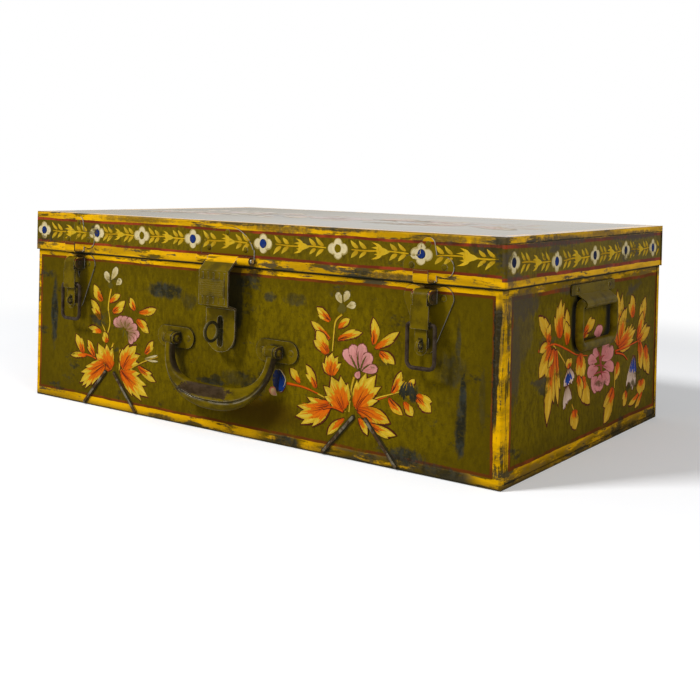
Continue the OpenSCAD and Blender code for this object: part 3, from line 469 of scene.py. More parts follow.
def handle_material(name):
    """Handle: painted front, brown bare flanks, a worn patch on the grip above its seam, with painted shade
    underneath, in its hollows and in the seam's groove, and painted highlights below the seam and on its left front
    rims.
    """
    look = Look(name)
    z = look.z
    rub = look.noise(6.5, (1.6, 1, 1.0), 6, 0.68, 8.1)
    fine = look.noise(1.4, EVEN, 4, 0.7, 2.9)
    both = rub + fine * 0.3
    out_x, out_y, out_z = look.facing("Normal")
    look.coat = look.mix(look.noise(12, (1.6, 1, 1), 5, 0.62, 3.0).step(0.36, 0.62), OLIVE_DARK, OLIVE)
    brown = look.mix(rub.step(0.36, 0.62), GRIP_BROWN, GRIP_BROWN_LIGHT)
    side = look.most(out_x.step(0.30, 0.62), out_x.step(-0.62, -0.80)) * z.step(40.0, 52.0)
    look.cover(side * 0.95, look.mix(0.45, brown, GRIME_AND_SHADE))
    ragged = (both - 0.65) * 44.0
    from_middle = abs(look.x + 16.0) + ragged + z.step(46.0, 51.0, 0.0, 6.0)
    bare = from_middle.step(35.0, 32.0) * ((z + ragged * 0.14).step(39.2, 40.4) * z.step(52.5, 50.5))
    bare = bare * out_y.step(-0.15, -0.35)
    look.cover(bare * 0.93, brown)
    look.cover(both.step(0.80, 0.88) * 0.6, RUST)
    # Painted shade in the handle's hollows
    look.cover(look.hollow_shade(2.2, 0.80, 0.40) * 0.9, GRIME_AND_SHADE)
    # Painted shade on the faces that look down
    look.cover(out_z.step(-0.35, -0.8) * 0.75, OLIVE_DARK)
    # The seam's marks: painted shade along its groove and a painted highlight line below it
    seam = look.node("ShaderNodeSeparateColor", (look.painted("seam"),))
    groove, lip = (Value(look, part) for part in seam.outputs[:2])
    # Painted highlight on the limbs' left front rims, and along the line below the seam, stronger to the right
    left_rim_highlight = out_x.step(-0.35, -0.60) * out_y.step(-0.25, -0.50) * z.step(44.0, 54.0)
    lip = look.most(lip * look.x.step(-20.0, 15.0, 0.15, 0.55), left_rim_highlight * 0.55)
    look.cover(lip * rub.step(0.38, 0.56, 0.15, 1.0), RUBBED_STEEL_AND_HIGHLIGHT)
    # Painted shade in the seam's groove
    look.cover(groove * 0.92, GRIME_AND_SHADE)
    rim = look.edges(1.6, 0.04, 0.16) * both.step(0.50, 0.70)
    look.cover(rim * 0.75, STEEL)
    rough = (rub + bare * 0.3).step(0.3, 1.0, 0.28, 0.5)
    return look.finish(rough, fine * 0.8 - bare * 0.5, rim * 0.6, HANDLE_GLOSS, 0.12)


def bare_metal(name, dark, light, rough, metal, shine=0.5, gloss=0.2, painted_light=0.0):
    """Unpainted brownish steel with painted shade in its hollows; its last argument paints a highlight on faces
    that look left and shade on those that look right.
    """
    look = Look(name)
    cloud = look.noise(5, (1, 1, 1.5), 6, 0.66, 1.9)
    fine = look.noise(0.9, EVEN, 3, 0.6, 7.0)
    look.coat = look.mix(cloud.step(0.36, 0.64), dark, light)
    look.cover(fine.step(0.5, 0.75) * 0.45, dark)
    look.cover(look.edges(0.5, 0.06, 0.25) * shine, STEEL)
    # Painted highlight on faces that look left and painted shade on faces that look right
    if painted_light:
        out_x = look.facing("Normal")[0]
        look.cover(out_x.step(-0.30, -0.62, 0.0, painted_light), HIGHLIGHT_STEEL)
        look.cover(out_x.step(0.30, 0.70, 0.0, painted_light), GRIME_AND_SHADE)
    # Painted shade in the hollows
    look.cover(look.hollow_shade(2.5, 0.8, 0.4) * 0.8, GRIME_AND_SHADE)
    return look.finish(cloud.step(0.3, 0.7, *rough), cloud * 0.6 + fine * 0.4, metal, gloss, 0.12)


def flower_paint(name, rough=0.46, strength=1.0, gloss=0.012, depth=0.10):
    """Ornament paint: each stroke has its own tint, with brush streaks and the sheet's wear."""
    look = Look(name)
    tint = look.painted("tint")
    streak = look.noise(1.7, (1, 1, 3.2), 4, 0.6, 6.1)
    blot = look.noise(5.5, EVEN, 4, 0.6, 15.0)
    chips = look.noise(1.6, EVEN, 4, 0.7, 19.0).step(0.66, 0.72)
    dull = look.mix(0.42, tint, OLIVE)
    look.coat = look.mix(streak.step(0.54, 0.76), tint, dull)
    look.cover(blot.step(0.56, 0.72) * 0.35, dull)
    look.cover(look.most(worn(look) * 0.85, chips * 0.6), OLIVE_DARK)
    if strength < 1.0:
        look.coat = look.mix(strength, OLIVE, look.coat)
    return look.finish(rough, streak * 0.8 + chips * -0.6 if depth else None, 0.0, gloss, depth)


# Marks on the sheets: axis across the face, the face, then each patch's centre, half sizes and strength
CASE_SPOTS = (
    ("x", CASE_FRONT, (
        (-268, 98, 5.5, 36, 1.0), (259.5, 45, 5.2, 22, 1.0), (261.5, 72, 3.4, 26, 1.0), (280, 72, 3.0, 26, 0.35),
        (256, 118, 2.6, 20, 0.7), (250, 96, 15, 14, 0.55), (294.5, 128, 3.0, 40, 0.6), (30, 51, 16, 5, 0.45),
        (-92, 137, 25, 8, 0.95), (-104, 134, 14, 5, 0.9), (-58, 128, 10, 8, 0.5), (48, 142, 7, 5, 0.8),
        (80, 142, 13, 6, 0.6), (-26, 50, 20, 3.0, 0.9), (-20, 54, 7, 4, 0.8), (8, 58, 20, 8, 0.45),
        (206, 13, 20, 8, 0.95), (240, 7, 22, 5, 0.8), (70, 5, 17, 5, 0.9), (-95, 3, 20, 3, 0.8),
        (209, 72, 8, 9, 0.9))),
    ("y", CASE_RIGHT, (
        (-156, 152, 34, 13, 0.85), (-165, 112, 10, 48, 0.75), (-152, 132, 22, 26, 0.5), (-20, 160, 60, 5, 0.7),
        (90, 3, 60, 4, 0.7))),
)
LID_SPOTS = (
    ("x", LID_FRONT, (
        (60, 209, 40, 4, 0.7), (95, 198, 14, 5, 0.4), (236, 208, 30, 4, 0.7), (-232, 193, 20, 5, 0.4),
        (282, 205, 16, 9, 0.7), (20, 212, 60, 2.5, 0.9), (130, 212, 46, 2.5, 0.9), (-140, 210, 60, 3, 0.6),
        (175, 172, 40, 4, 0.8))),
    ("y", LID_RIGHT, ((-90, 206, 70, 5, 0.9), (20, 208, 60, 5, 0.6), (110, 205, 70, 5, 0.9))),
)

handle_paint = handle_material("painted_handle")
stroke_paint = flower_paint("ornament_paint")
faint_paint = flower_paint("ornament_paint_top", 0.155, 0.45, 0.026, 0.0)
LOOKS = {
    sheet("painted_case", True, CASE_SPOTS): ("case_wrap", "case_end_left", "case_end_right"),
    sheet("painted_lid", False, LID_SPOTS): ("lid_wrap", "lid_end_left", "lid_end_right"),
    # Latch bases get a wide painted shade round their levers; bases and catches get painted highlights on rims that
    # face right
    hardware("painted_over_fitting", 0.1, "bands", OLIVE, 0.7, shade_reach=13.0, right_rim_highlight=0.3): (
        "latch_base_left", "latch_base_right"),
    hardware("painted_over_catch", 0.1, "bands", OLIVE, 0.7, sides=False, right_rim_highlight=0.9): (
        "catch_left", "catch_right", "hasp_plate"),
    hardware("painted_side_fitting", 0.25, edge=0.5, sides=False): (
        "side_plate_left", "side_plate_right", "side_ring_left", "side_ring_right"),
    hardware("painted_strap", 0.2, "roll", edge=1.5, rim_width=1.1): ("hasp_strap",),
    # Painted shade between the badge's ribs
    hardware("ribbed_badge", 0.3, edge=0.9, shade_reach=1.3): ("hasp_badge",),
    hardware("painted_fitting", 0.3, shade_reach=6.0): (
        "latch_lever_left", "latch_lever_right", "handle_lug_left", "handle_lug_right", "front_handle"),
    hardware("worn_fitting", 0.6, edge=0.6): (
        "case_rivets", "lid_rivets", "hinge_leaf_case_left", "hinge_leaf_case_right", "hinge_leaf_lid_left",
        "hinge_leaf_lid_right", "handle_pins"),
    bare_metal("brown_steel", (0.024, 0.015, 0.009), (0.052, 0.037, 0.024), (0.6, 0.40), 0.1, 0.3, STEEL_GLOSS): (
        "latch_bail_left", "latch_bail_right", "latch_pins"),
    bare_metal("grey_steel", (0.036, 0.028, 0.006), (0.085, 0.068, 0.018), (0.5, 0.34), 0.15, 0.7, STEEL_GLOSS,
               0.75): ("hasp_staple",),
    bare_metal("bright_steel", (0.20, 0.185, 0.15), (0.52, 0.50, 0.46), (0.36, 0.24), 0.9): (
        "hasp_pin", "hinge_pins"),
}
for material, names in LOOKS.items():
    for name in names:
        nodes[name].data.materials.clear()
        nodes[name].data.materials.append(material)

# Front handle: a finer sweep of the same bar, with the rolled seam along its grip
HANDLE_AT = (-7.6, -(CASE_Y + 9.0), CASE_TOP - 78.6)
PATH_HALF, PATH_DROP, PATH_POWER = 67.0, 51.5, 0.82
LIMB_W, GRIP_H, GRIP_T, GRIP_DROP, GRIP_TILT = 9.5, 24.0, 12.0, 63.5, 7.0
# Across the grip: middle and width of the seam's ridge, of its groove, and of the line where a highlight is painted
# below it
RIDGE_AT, GROOVE_AT, HIGHLIGHT_LINE_AT = (1.0, 0.9), (2.9, 0.75), (4.1, 0.5)
EYE_R, HANDLE_PIN_R = 6.3, 2.56
NO_MARK = (0.0, 0.0, 0.0, 1.0)


def power(v, e):
    return math.copysign(abs(v) ** e, v)


def bell_curve(at, middle, width):
    return math.exp(-((at - middle) / width) ** 2)


def path_point(a):
    return (-PATH_HALF * power(math.cos(a), PATH_POWER), -PATH_DROP * power(math.sin(a), PATH_POWER))


def handle_mesh(turns=150, sides=112):
    """Bar swept along the handle's path; its section swells into the grip and carries a ridge."""
    verts, faces, seams = [], [], []
    for i in range(turns + 1):
        a = math.pi * (i / turns)
        at = path_point(a)
        before, after = path_point(max(a - 0.004, 0.0)), path_point(min(a + 0.004, math.pi))
        du, dv = after[0] - before[0], after[1] - before[1]
        reach = math.hypot(du, dv)
        nu, nv = dv / reach, -du / reach
        deep = math.sin(a) ** 3
        bow = math.sin(a) * (1.0 - deep)
        half = LIMB_W / 2 * (1.0 - 0.34 * bow) + (GRIP_H - LIMB_W) / 2 * deep
        thick = (LIMB_W / 2 - 0.4) * (1.0 - deep) + GRIP_T / 2 * deep + 2.2 * bow
        boxy = 0.75 - 0.22 * bow
        seamed = min(1.0, 1.25 * math.sin(a) ** 2)
        lean = 3.2 * deep + 4.0 * bow
        for j in range(sides):
            f = 2 * math.pi * j / sides
            blunt = boxy + (0.95 if math.cos(f) < 0 < math.sin(f) else 0.0) * (1.0 - 0.8 * bow)
            c = half * power(math.cos(f), blunt)
            o = thick * power(math.sin(f), boxy) + lean
            mark = NO_MARK
            if math.sin(f) > 0:
                o += deep * (0.9 * bell_curve(c, *RIDGE_AT) - 0.5 / (1.0 + math.exp(2.2 * c)) * math.sin(f))
                groove = seamed * bell_curve(c, *GROOVE_AT)
                o -= 0.8 * groove
                # Marks for the material: painted shade in the groove and a painted highlight line below it
                mark = (groove, seamed * bell_curve(c, *HIGHLIGHT_LINE_AT), 0.0, 1.0)
            seams.append(mark)
            x, z = at[0] + nu * c, at[1] + nv * c
            o += GRIP_TILT * max(-at[1], 0.0) / GRIP_DROP
            verts.append([(HANDLE_AT[0] + x) * MM, (HANDLE_AT[1] - o) * MM, (HANDLE_AT[2] + z) * MM])
    faces += quads(0, turns, sides)
    faces.append(tuple(range(sides)))
    faces.append(tuple(turns * sides + j for j in range(sides)))
    for s in (-1, 1):
        eye(verts, faces, HANDLE_AT[0] + s * PATH_HALF)
    mesh = new_mesh("handle_bar", verts, faces, "seam", seams + [NO_MARK] * (len(verts) - len(seams)))
    for face in mesh.polygons:
        face.use_smooth = True
    mesh.set_sharp_from_angle(angle=math.radians(38))
    return mesh


def quads(first, rows, ring, closed=False):
    """Faces between the rings of a sweep; a closed one joins its last ring to its first."""
    faces = []
    for i in range(rows):
        a, b = first + i * ring, first + ((i + 1) % rows if closed else i + 1) * ring
        faces += [(a + j, a + (j + 1) % ring, b + (j + 1) % ring, b + j) for j in range(ring)]
    return faces


def eye(verts, faces, x, around=48):
    """Ring at one end of the handle, bored for its pin, with softly rounded rims."""
    half = LIMB_W / 2
    section = ((EYE_R, -half + 0.6), (EYE_R, half - 0.6), (EYE_R - 0.18, half - 0.18), (EYE_R - 0.6, half),
               (HANDLE_PIN_R, half), (HANDLE_PIN_R, -half), (EYE_R - 0.6, -half), (EYE_R - 0.18, -half + 0.18))
    faces += quads(len(verts), around, len(section), True)
    for i in range(around):
        a = 2 * math.pi * i / around
        for r, across_x in section:
            verts.append([(x + across_x) * MM, (HANDLE_AT[1] + r * math.cos(a)) * MM,
                          (HANDLE_AT[2] + r * math.sin(a)) * MM])


def new_mesh(name, verts, faces, attribute, colours):
    """Mesh with its normals outward and one colour attribute."""
    mesh = bpy.data.meshes.new(name)
    mesh.from_pydata(verts, [], faces)
    layer = mesh.color_attributes.new(attribute, "FLOAT_COLOR", "POINT")
    for datum, colour in zip(layer.data, colours):
        datum.color = colour
    work = bmesh.new()
    work.from_mesh(mesh)
    bmesh.ops.recalc_face_normals(work, faces=work.faces)
    work.to_mesh(mesh)
    work.free()
    return mesh


def new_piece(mesh, material, body):
    """Object of this mesh that rides on a body."""
    mesh.materials.append(material)
    piece = bpy.data.objects.new(mesh.name, mesh)
    bpy.context.scene.collection.objects.link(piece)
    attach(piece, body)
    return piece


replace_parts(new_piece(handle_mesh(), handle_paint, "handle"), "front_handle")

# Ornament: brush strokes laid on the sheet as thin closed strips
CREAM, CREAM_DIM = (0.53, 0.44, 0.24), (0.34, 0.26, 0.09)
LEAF, LEAF_PALE, LEAF_DEEP = (0.50, 0.295, 0.008), (0.47, 0.32, 0.020), (0.36, 0.20, 0.005)
LEAF_TIP = (0.56, 0.40, 0.045)
ORANGE, ORANGE_DEEP = (0.52, 0.080, 0.003), (0.34, 0.040, 0.003)
WINE = (0.070, 0.014, 0.007)
PINK, PINK_DEEP, PINK_PALE = (0.42, 0.150, 0.135), (0.26, 0.042, 0.036), (0.53, 0.235, 0.205)
PINK_SHADE, PINK_ROOT = (0.13, 0.034, 0.022), (0.16, 0.095, 0.028)
CHALK, CHALK_DIM = (0.56, 0.48, 0.36), (0.30, 0.22, 0.11)
BLUE, BLUE_DARK, BLUE_BRIGHT = (0.007, 0.022, 0.115), (0.008, 0.012, 0.035), (0.012, 0.050, 0.260)
BUD_GREEN = (0.085, 0.065, 0.010)
PLAIN_CAST, END_CAST = (1.0, 1.0, 1.0), (1.10, 0.94, 1.0)

# Each panel: body, outward direction, face level, and a map from its drawing to the frame
PANELS = {
    "front": ("case", (0, -1, 0), CASE_Y, lambda u, v: (u, 0.0, v),
              ("latch_base_left", "latch_base_right", "handle_lug_left", "handle_lug_right")),
    "lid_front": ("lid", (0, -1, 0), LID_Y, lambda u, v: (u, 0.0, v),
                  ("lid_wrap", "catch_left", "catch_right", "hasp_plate")),
    "lid_back": ("lid", (0, 1, 0), LID_Y, lambda u, v: (-u, 0.0, v),
                 ("lid_wrap", "hinge_leaf_lid_left", "hinge_leaf_lid_right")),
    "top": ("lid", (0, 0, 1), LID_TOP, lambda u, v: (u, v, 0.0), ("lid_wrap",)),
}
for side, s in (("right", 1), ("left", -1)):
    chart = (lambda u, v: (0.0, u, v)) if s > 0 else (lambda u, v: (0.0, -u, v))
    PANELS[side] = ("case", (s, 0, 0), END_X, chart, ("case_end_" + side, "case_wrap", "side_plate_" + side))
    PANELS["lid_" + side] = ("lid", (s, 0, 0), LID_END_X, chart, ("lid_end_" + side, "lid_wrap"))

# Furthest a stroke reaches from a panel's middle, and the most that a fitting below it may rise, in mm
LIMITS = {"lid_right": 189.0, "lid_left": 189.0, "lid_front": 297.0, "lid_back": 297.0}
NO_LIMIT, TALLEST, LOWEST, LOOK_FROM = 1000.0, 2.9, -0.3, 40.0
# Thickness of a coat and height of the first one, spacing of a stroke's points and their least number
COAT, THIN_COAT = (0.0045, 0.03), (0.0012, 0.006)
SPACING, STEPS = {"lid_front": (0.65, 9), "top": (1.8, 6)}, (1.1, 9)
CELL, PART_WIDTH, MOST_PARTS, FOOT = 1.0, 1.3, 7, -0.05


class Ornament:
    """Collects the strokes of one panel into one mesh that follows the surface below."""

    def __init__(self, name, plane, material=stroke_paint):
        self.name, self.material = name, material
        self.body, out, self.level, self.chart, under = PANELS[plane]
        self.out = Vector(out)
        self.limit = LIMITS.get(plane, NO_LIMIT)
        self.coat, self.base = THIN_COAT if plane == "top" else COAT
        self.fine = plane == "lid_front"
        self.pitch, self.least = SPACING.get(plane, STEPS)
        self.cast = END_CAST if plane in ("right", "left") else PLAIN_CAST
        self.verts, self.faces, self.tints, self.covered = [], [], [], {}
        work = bmesh.new()
        for node in under:
            work.from_mesh(nodes[node].data)
        self.ground = BVHTree.FromBMesh(work)
        work.free()

    def place(self, u, v, height):
        """Point over the drawing's (u, v), height mm above whatever sheet lies there."""
        flat = Vector(self.chart(u, v)) + self.out * (self.level + LOOK_FROM)
        hit = self.ground.ray_cast(flat * MM, -self.out)[0]
        rise = hit.dot(self.out) / MM - self.level if hit else 0.0
        if not LOWEST < rise < TALLEST:
            rise = 0.0
        return (flat + self.out * (rise + height - LOOK_FROM)) * MM

    def pile(self, spine, left, right):
        """Height of a new stroke: one coat above every earlier stroke that it crosses."""
        cells = set()
        for (u, v), (u_next, v_next), *sides in zip(spine, spine[1:], left, left[1:], right, right[1:]):
            du, dv = u_next - u, v_next - v
            reach = math.hypot(du, dv) or 1.0
            near, far = max(sides[:2]), max(sides[2:])
            rows, columns = int(reach / CELL) + 1, int((near + far) / CELL) + 1
            for i in range(rows + 1):
                for k in range(columns + 1):
                    w = (near - (near + far) * k / columns) / reach
                    cells.add((math.floor((u + du * i / rows - dv * w) / CELL),
                               math.floor((v + dv * i / rows + du * w) / CELL)))
        top = max(self.covered.get(cell, self.base) for cell in cells) + self.coat
        for a, b in cells:
            for near_by in ((a + i, b + k) for i in (-1, 0, 1) for k in (-1, 0, 1)):
                self.covered[near_by] = max(self.covered.get(near_by, 0.0), top)
        return top

    def strip(self, spine, left, right, tint, tint_end=None):
        """Closed strip along the spine, with its own width on each side at each point."""
        if max(abs(p[0]) for p in spine) > self.limit:
            return
        count, first = len(spine), len(self.verts)
        widest = max(a + b for a, b in zip(left, right))
        parts = min(max(1, math.ceil(widest / PART_WIDTH)), MOST_PARTS) if self.fine else 1
        ring = 2 * (parts + 1)
        top = self.pile(spine, left, right)
        for i, (u, v) in enumerate(spine):
            a, b = spine[max(i - 1, 0)], spine[min(i + 1, count - 1)]
            du, dv = b[0] - a[0], b[1] - a[1]
            reach = math.hypot(du, dv) or 1.0
            nu, nv = -dv / reach, du / reach
            colour = blend(tint, tint_end or tint, i / (count - 1))
            sides = [left[i] - (left[i] + right[i]) * k / parts for k in range(parts + 1)]
            for side, height in [(w, top) for w in sides] + [(w, FOOT) for w in reversed(sides)]:
                self.verts.append(self.place(u + nu * side, v + nv * side, height))
                self.tints.append((*(c * k for c, k in zip(colour, self.cast)), 1.0))
        self.faces += quads(first, count - 1, ring)
        for a in (first, first + ring * (count - 1)):
            self.faces += [(a + k, a + k + 1, a + ring - 2 - k, a + ring - 1 - k) for k in range(parts)]

    def make(self):
        mesh = new_mesh(self.name, self.verts, self.faces, "tint", self.tints)
        new_piece(mesh, self.material, self.body)


def curve(points, steps):
    """Points along a smooth line through the given ones."""
    pts = [Vector((*p, 0.0)) for p in points]
    if len(pts) == 2:
        return [tuple(pts[0].lerp(pts[1], i / steps)[:2]) for i in range(steps + 1)]
    out = []
    parts = len(pts) - 1
    for i in range(steps + 1):
        t = i / steps * parts
        k = min(int(t), parts - 1)
        f = t - k
        p0, p1, p2, p3 = (pts[max(k - 1, 0)], pts[k], pts[k + 1], pts[min(k + 2, parts)])
        q = 0.5 * ((2 * p1) + (p2 - p0) * f + (2 * p0 - 5 * p1 + 4 * p2 - p3) * f * f
                   + (3 * p1 - p0 - 3 * p2 + p3) * f ** 3)
        out.append((q.x, q.y))
    return out


def bent(base, tip, bend, steps):
    """Line from base to tip that bows sideways by bend times its length."""
    du, dv = tip[0] - base[0], tip[1] - base[1]
    out = []
    for i in range(steps + 1):
        t = i / steps
        bow = bend * math.sin(math.pi * t)
        out.append((base[0] + du * t - dv * bow, base[1] + dv * t + du * bow))
    return out


def pointed(t, peak=0.42):
    """Half width of a brush stroke that is pointed at both ends, 1 at its widest."""
    return math.sin(math.pi * t ** (math.log(0.5) / math.log(peak))) ** 0.8


def teardrop(t, fat=0.64):
    """Half width of a stroke that starts at a point and ends round."""
    if t < fat:
        return 0.14 + 0.86 * math.sin(math.pi / 2 * t / fat) ** 1.2
    return max(math.sqrt(max(1.0 - ((t - fat) / (1.0 - fat)) ** 2, 0.0)), 0.06)


def spear(t, fat=0.5, sharp=1.7):
    """Half width of a leaf's finger: narrow foot, full middle, pointed tip."""
    if t < fat:
        return 0.16 + 0.84 * math.sin(math.pi / 2 * t / fat) ** 1.1
    return max(1.0 - ((t - fat) / (1.0 - fat)) ** sharp, 0.05)


def lobe(t):
    """Half width of a small leaf: like a spear, with a blunter tip."""
    return spear(t, 0.56, 2.5)


def vary(colour, amount=0.12):
    k = 1.0 + rng.uniform(-amount, amount)
    return tuple(c * k for c in colour)


def blend(a, b, part):
    return tuple(p + (q - p) * part for p, q in zip(a, b))


def dab(art, a, b, half, tint, tint_end=None, bend=0.0, shape=teardrop, uneven=0.07):
    """One stroke of the brush from a to b."""
    steps = min(max(art.least, int(math.dist(a, b) / art.pitch)), 26)
    wide = [max(half * shape(i / steps) * rng.uniform(1 - uneven, 1 + uneven), 0.06) for i in range(steps + 1)]
    thin = [max(w * rng.uniform(1 - uneven, 1 + uneven), 0.06) for w in wide]
    art.strip(bent(a, b, bend, steps), wide, thin, tint, tint_end)


def across(base, tip, along, aside):
    """Point at a fraction along base-tip and aside mm to its left."""
    du, dv = tip[0] - base[0], tip[1] - base[1]
    reach = math.hypot(du, dv)
    return (base[0] + du * along - dv / reach * aside, base[1] + dv * along + du / reach * aside)


def stroke(art, line, start, end, *rest):
    """Dab beside a line from base to tip, between two points given along it and aside of it."""
    dab(art, across(*line, *start), across(*line, *end), *rest)


# Fingers of a leaf: start and end along it, aside at both, and half width, as shares of its size
FINGERS = {
    "single": ((0.0, 1.0, 0.0, 0.0, 0.48),),
    "pair": ((0.0, 1.0, 0.02, 0.12, 0.36), (0.02, 0.74, -0.12, -0.40, 0.24)),
    "five": ((0.0, 1.0, 0.0, 0.0, 0.30), (0.10, 0.86, 0.10, 0.36, 0.19), (0.10, 0.82, -0.10, -0.38, 0.19),
             (0.02, 0.60, 0.10, 0.56, 0.16), (0.02, 0.54, -0.10, -0.56, 0.16)),
    "saw": ((0.0, 1.0, 0.0, 0.0, 0.29), (0.34, 0.97, 0.10, 0.25, 0.15), (0.22, 0.88, 0.16, 0.44, 0.15),
            (0.24, 0.86, -0.12, -0.38, 0.15), (0.10, 0.66, 0.14, 0.52, 0.14), (0.06, 0.62, -0.14, -0.54, 0.15),
            (0.0, 0.42, 0.10, 0.50, 0.13), (0.0, 0.38, -0.12, -0.50, 0.12)),
}


def leaf(art, base, tip, width, kind, core, warm=False):
    """Leaf of several finger strokes: wine shadow, yellow body, orange streaks from the foot, pale rims."""
    turn = rng.choice((-1, 1))
    bow = rng.uniform(-0.07, 0.07)
    shape = lobe if kind in ("single", "pair") else spear
    sets = []
    for start, end, foot, head, half in FINGERS[kind]:
        a = across(base, tip, start, foot * turn * width)
        b = across(base, tip, end * rng.uniform(0.95, 1.04), head * turn * width * rng.uniform(0.9, 1.08))
        sets.append(((a, b), half * width, bow - 0.09 * head * turn))
    lean = rng.choice((-0.5, 0.5))
    for line, half, bend in sets:
        stroke(art, line, (-0.03, lean), (1.05, lean), half + 1.0, vary(WINE), None, bend, shape)
    for line, half, bend in sets:
        first, last = (ORANGE_DEEP, LEAF) if warm else (LEAF_DEEP, LEAF_PALE)
        dab(art, *line, half, vary(first, 0.1), vary(last), bend, shape)
    for line, half, bend in sets:
        stroke(art, line, (0.22, 0.0), (0.97, 0.0), half * 0.66, vary(LEAF, 0.14), vary(LEAF_PALE, 0.14), bend,
               shape, 0.12)
        stroke(art, line, (0.45, half * 0.35), (0.93, half * 0.12), half * 0.22, vary(LEAF_PALE, 0.15),
               vary(LEAF_TIP, 0.15), bend, pointed, 0.2)
    for n, (line, half, bend) in enumerate(sets):
        if n > 4 and rng.random() < 0.4:
            continue
        share = core * rng.uniform(0.8, 1.1)
        stroke(art, line, (0.0, 0.0), (share, 0.0), half * 0.66, vary(ORANGE_DEEP, 0.2),
               vary(blend(ORANGE, LEAF, 0.12)), bend, pointed, 0.2)
        for _ in range(max(2, round(half * 0.9))):
            side = rng.uniform(-0.55, 0.55) * half
            far = share * rng.uniform(0.85, 1.35)
            stroke(art, line, (rng.uniform(0.0, 0.15), side * 0.5), (min(far, 0.92), side),
                   rng.uniform(0.16, 0.30) * min(half, 3.0), vary(ORANGE, 0.2), vary(blend(ORANGE, LEAF, 0.30)),
                   bend, pointed, 0.2)
    if width > 9:
        for _ in range(3):
            aside = rng.uniform(-0.22, 0.22) * width
            stroke(art, (base, tip), (0.03, aside * 0.3), (rng.uniform(0.35, 0.62), aside), 0.30,
                   vary(WINE, 0.2), None, bow, pointed)


def petal(art, base, tip, width, colour, shade, frill, shadow):
    """Petal that opens to a scalloped end."""
    line, half = (base, tip), width / 2
    lean = rng.uniform(-0.06, 0.06)
    stroke(art, line, (0.0, 0.0), (1.05, 0.0), half + 0.55, vary(shadow), None, lean)
    ends = [((k + 0.5) / frill - 0.5) * 1.25 for k in range(frill)]
    for e in ends:
        stroke(art, line, (0.3, 0.0), (1.06 - 0.1 * abs(e), e * half), half * 0.62 + 0.5, vary(shadow), None, lean)
    dab(art, base, tip, half, vary(shade, 0.1), vary(colour), lean)
    for e in ends:
        stroke(art, line, (0.25, e * half * 0.3), (1.02 - 0.1 * abs(e), e * half), half * 0.62, vary(shade, 0.15),
               vary(colour, 0.1), lean)
    stroke(art, line, (0.1, 0.0), (0.72, rng.uniform(-0.2, 0.2) * half), half * 0.16 + 0.1, vary(shade, 0.2),
           vary(shade, 0.2), lean, pointed)


def tuft(art, base, tip, width, colour, shade, count, shadow=None):
    """Ragged tuft of narrow strokes."""
    tips = [(rng.uniform(0.72, 1.04), ((k + 0.5) / count - 0.5) * width) for k in range(count)]
    rng.shuffle(tips)
    line, half = (base, tip), width / count * 0.62
    if shadow:
        for end, aside in tips:
            stroke(art, line, (0.0, aside * 0.3), (end + 0.04, aside), half + 0.8, vary(shadow), None, 0.04)
    for end, aside in tips:
        stroke(art, line, (rng.uniform(0.0, 0.15), aside * 0.35), (end, aside), half, vary(shade, 0.2),
               vary(colour, 0.15), rng.uniform(-0.08, 0.08), teardrop, 0.18)


def stem(art, points, width, colour, under):
    """Tapering stalk through the points, with a wine shadow and a lighter middle."""
    steps = 6 * (len(points) - 1) + 4
    w = [width / 2 * (1.0 - 0.55 * i / steps) * rng.uniform(0.85, 1.12) for i in range(steps + 1)]
    line = curve(points, steps)
    aside = rng.choice((0.45, -0.45))
    art.strip([(u + aside * 0.5, v - 0.45) for u, v in line], [a + 0.35 for a in w], w, vary(WINE))
    art.strip(line, w, w, vary(under), vary(colour, 0.15))
    art.strip(line[1:-1], [a * 0.5 for a in w[1:-1]], [a * 0.35 for a in w[1:-1]], vary(colour), vary(colour, 0.2))


def blob(art, centre, ru, rv, colour, turn=0.0):
    """Dab of paint: an oval with a slightly uneven rim."""
    steps = max(12, int(2 * ru / art.pitch))
    c, s = math.cos(turn), math.sin(turn)
    spine, wide = [], []
    for i in range(steps + 1):
        a = math.pi * i / steps
        d = -math.cos(a) * ru
        spine.append((centre[0] + d * c, centre[1] + d * s))
        wide.append(max(rv * math.sin(a) * rng.uniform(0.92, 1.06), 0.08))
    art.strip(spine, wide, [w * rng.uniform(0.94, 1.04) for w in wide], colour)


# Petals of the lid's flowers: direction in degrees, distance of the middle, half sizes
FOUR_PETALS = ((90, 5.0, 5.0, 5.0), (0, 6.0, 5.5, 5.6), (180, 6.1, 5.6, 5.5), (270, 5.1, 4.9, 4.9))
# Barbs of the vine's arrow leaf: reach back, rise, half width, root
BARBS = ((17.0, 7.4, 1.5, 5.5), (19.5, 2.6, 1.5, 4.0), (16.0, -2.6, 1.6, 4.0), (18.5, -7.2, 1.5, 5.5))
FLOWER_GAP = 84.0


def four_petal(art, centre, eye_tone):
    """Flower of the lid's band: four round cream petals about a large eye."""
    cu, cv = centre
    for share, tone, amount in ((1.0, CREAM_DIM, 0.12), (0.80, CREAM, 0.10)):
        for angle, far, ru, rv in FOUR_PETALS:
            r = math.radians(angle + rng.uniform(-5, 5))
            far *= rng.uniform(0.94, 1.04)
            at = (cu + math.cos(r) * far, cv + math.sin(r) * far)
            blob(art, at, ru * share, rv * share, vary(tone, amount), r)
    blob(art, centre, 6.6, 6.0, vary(CREAM, 0.08))
    if eye_tone:
        blob(art, centre, 4.4, 4.5, vary(BLUE_DARK, 0.1))
        blob(art, (cu - 0.3, cv + 0.2), 3.9, 4.1, vary(eye_tone, 0.12))
    else:
        blob(art, centre, 3.7, 4.2, vary(OLIVE, 0.1))


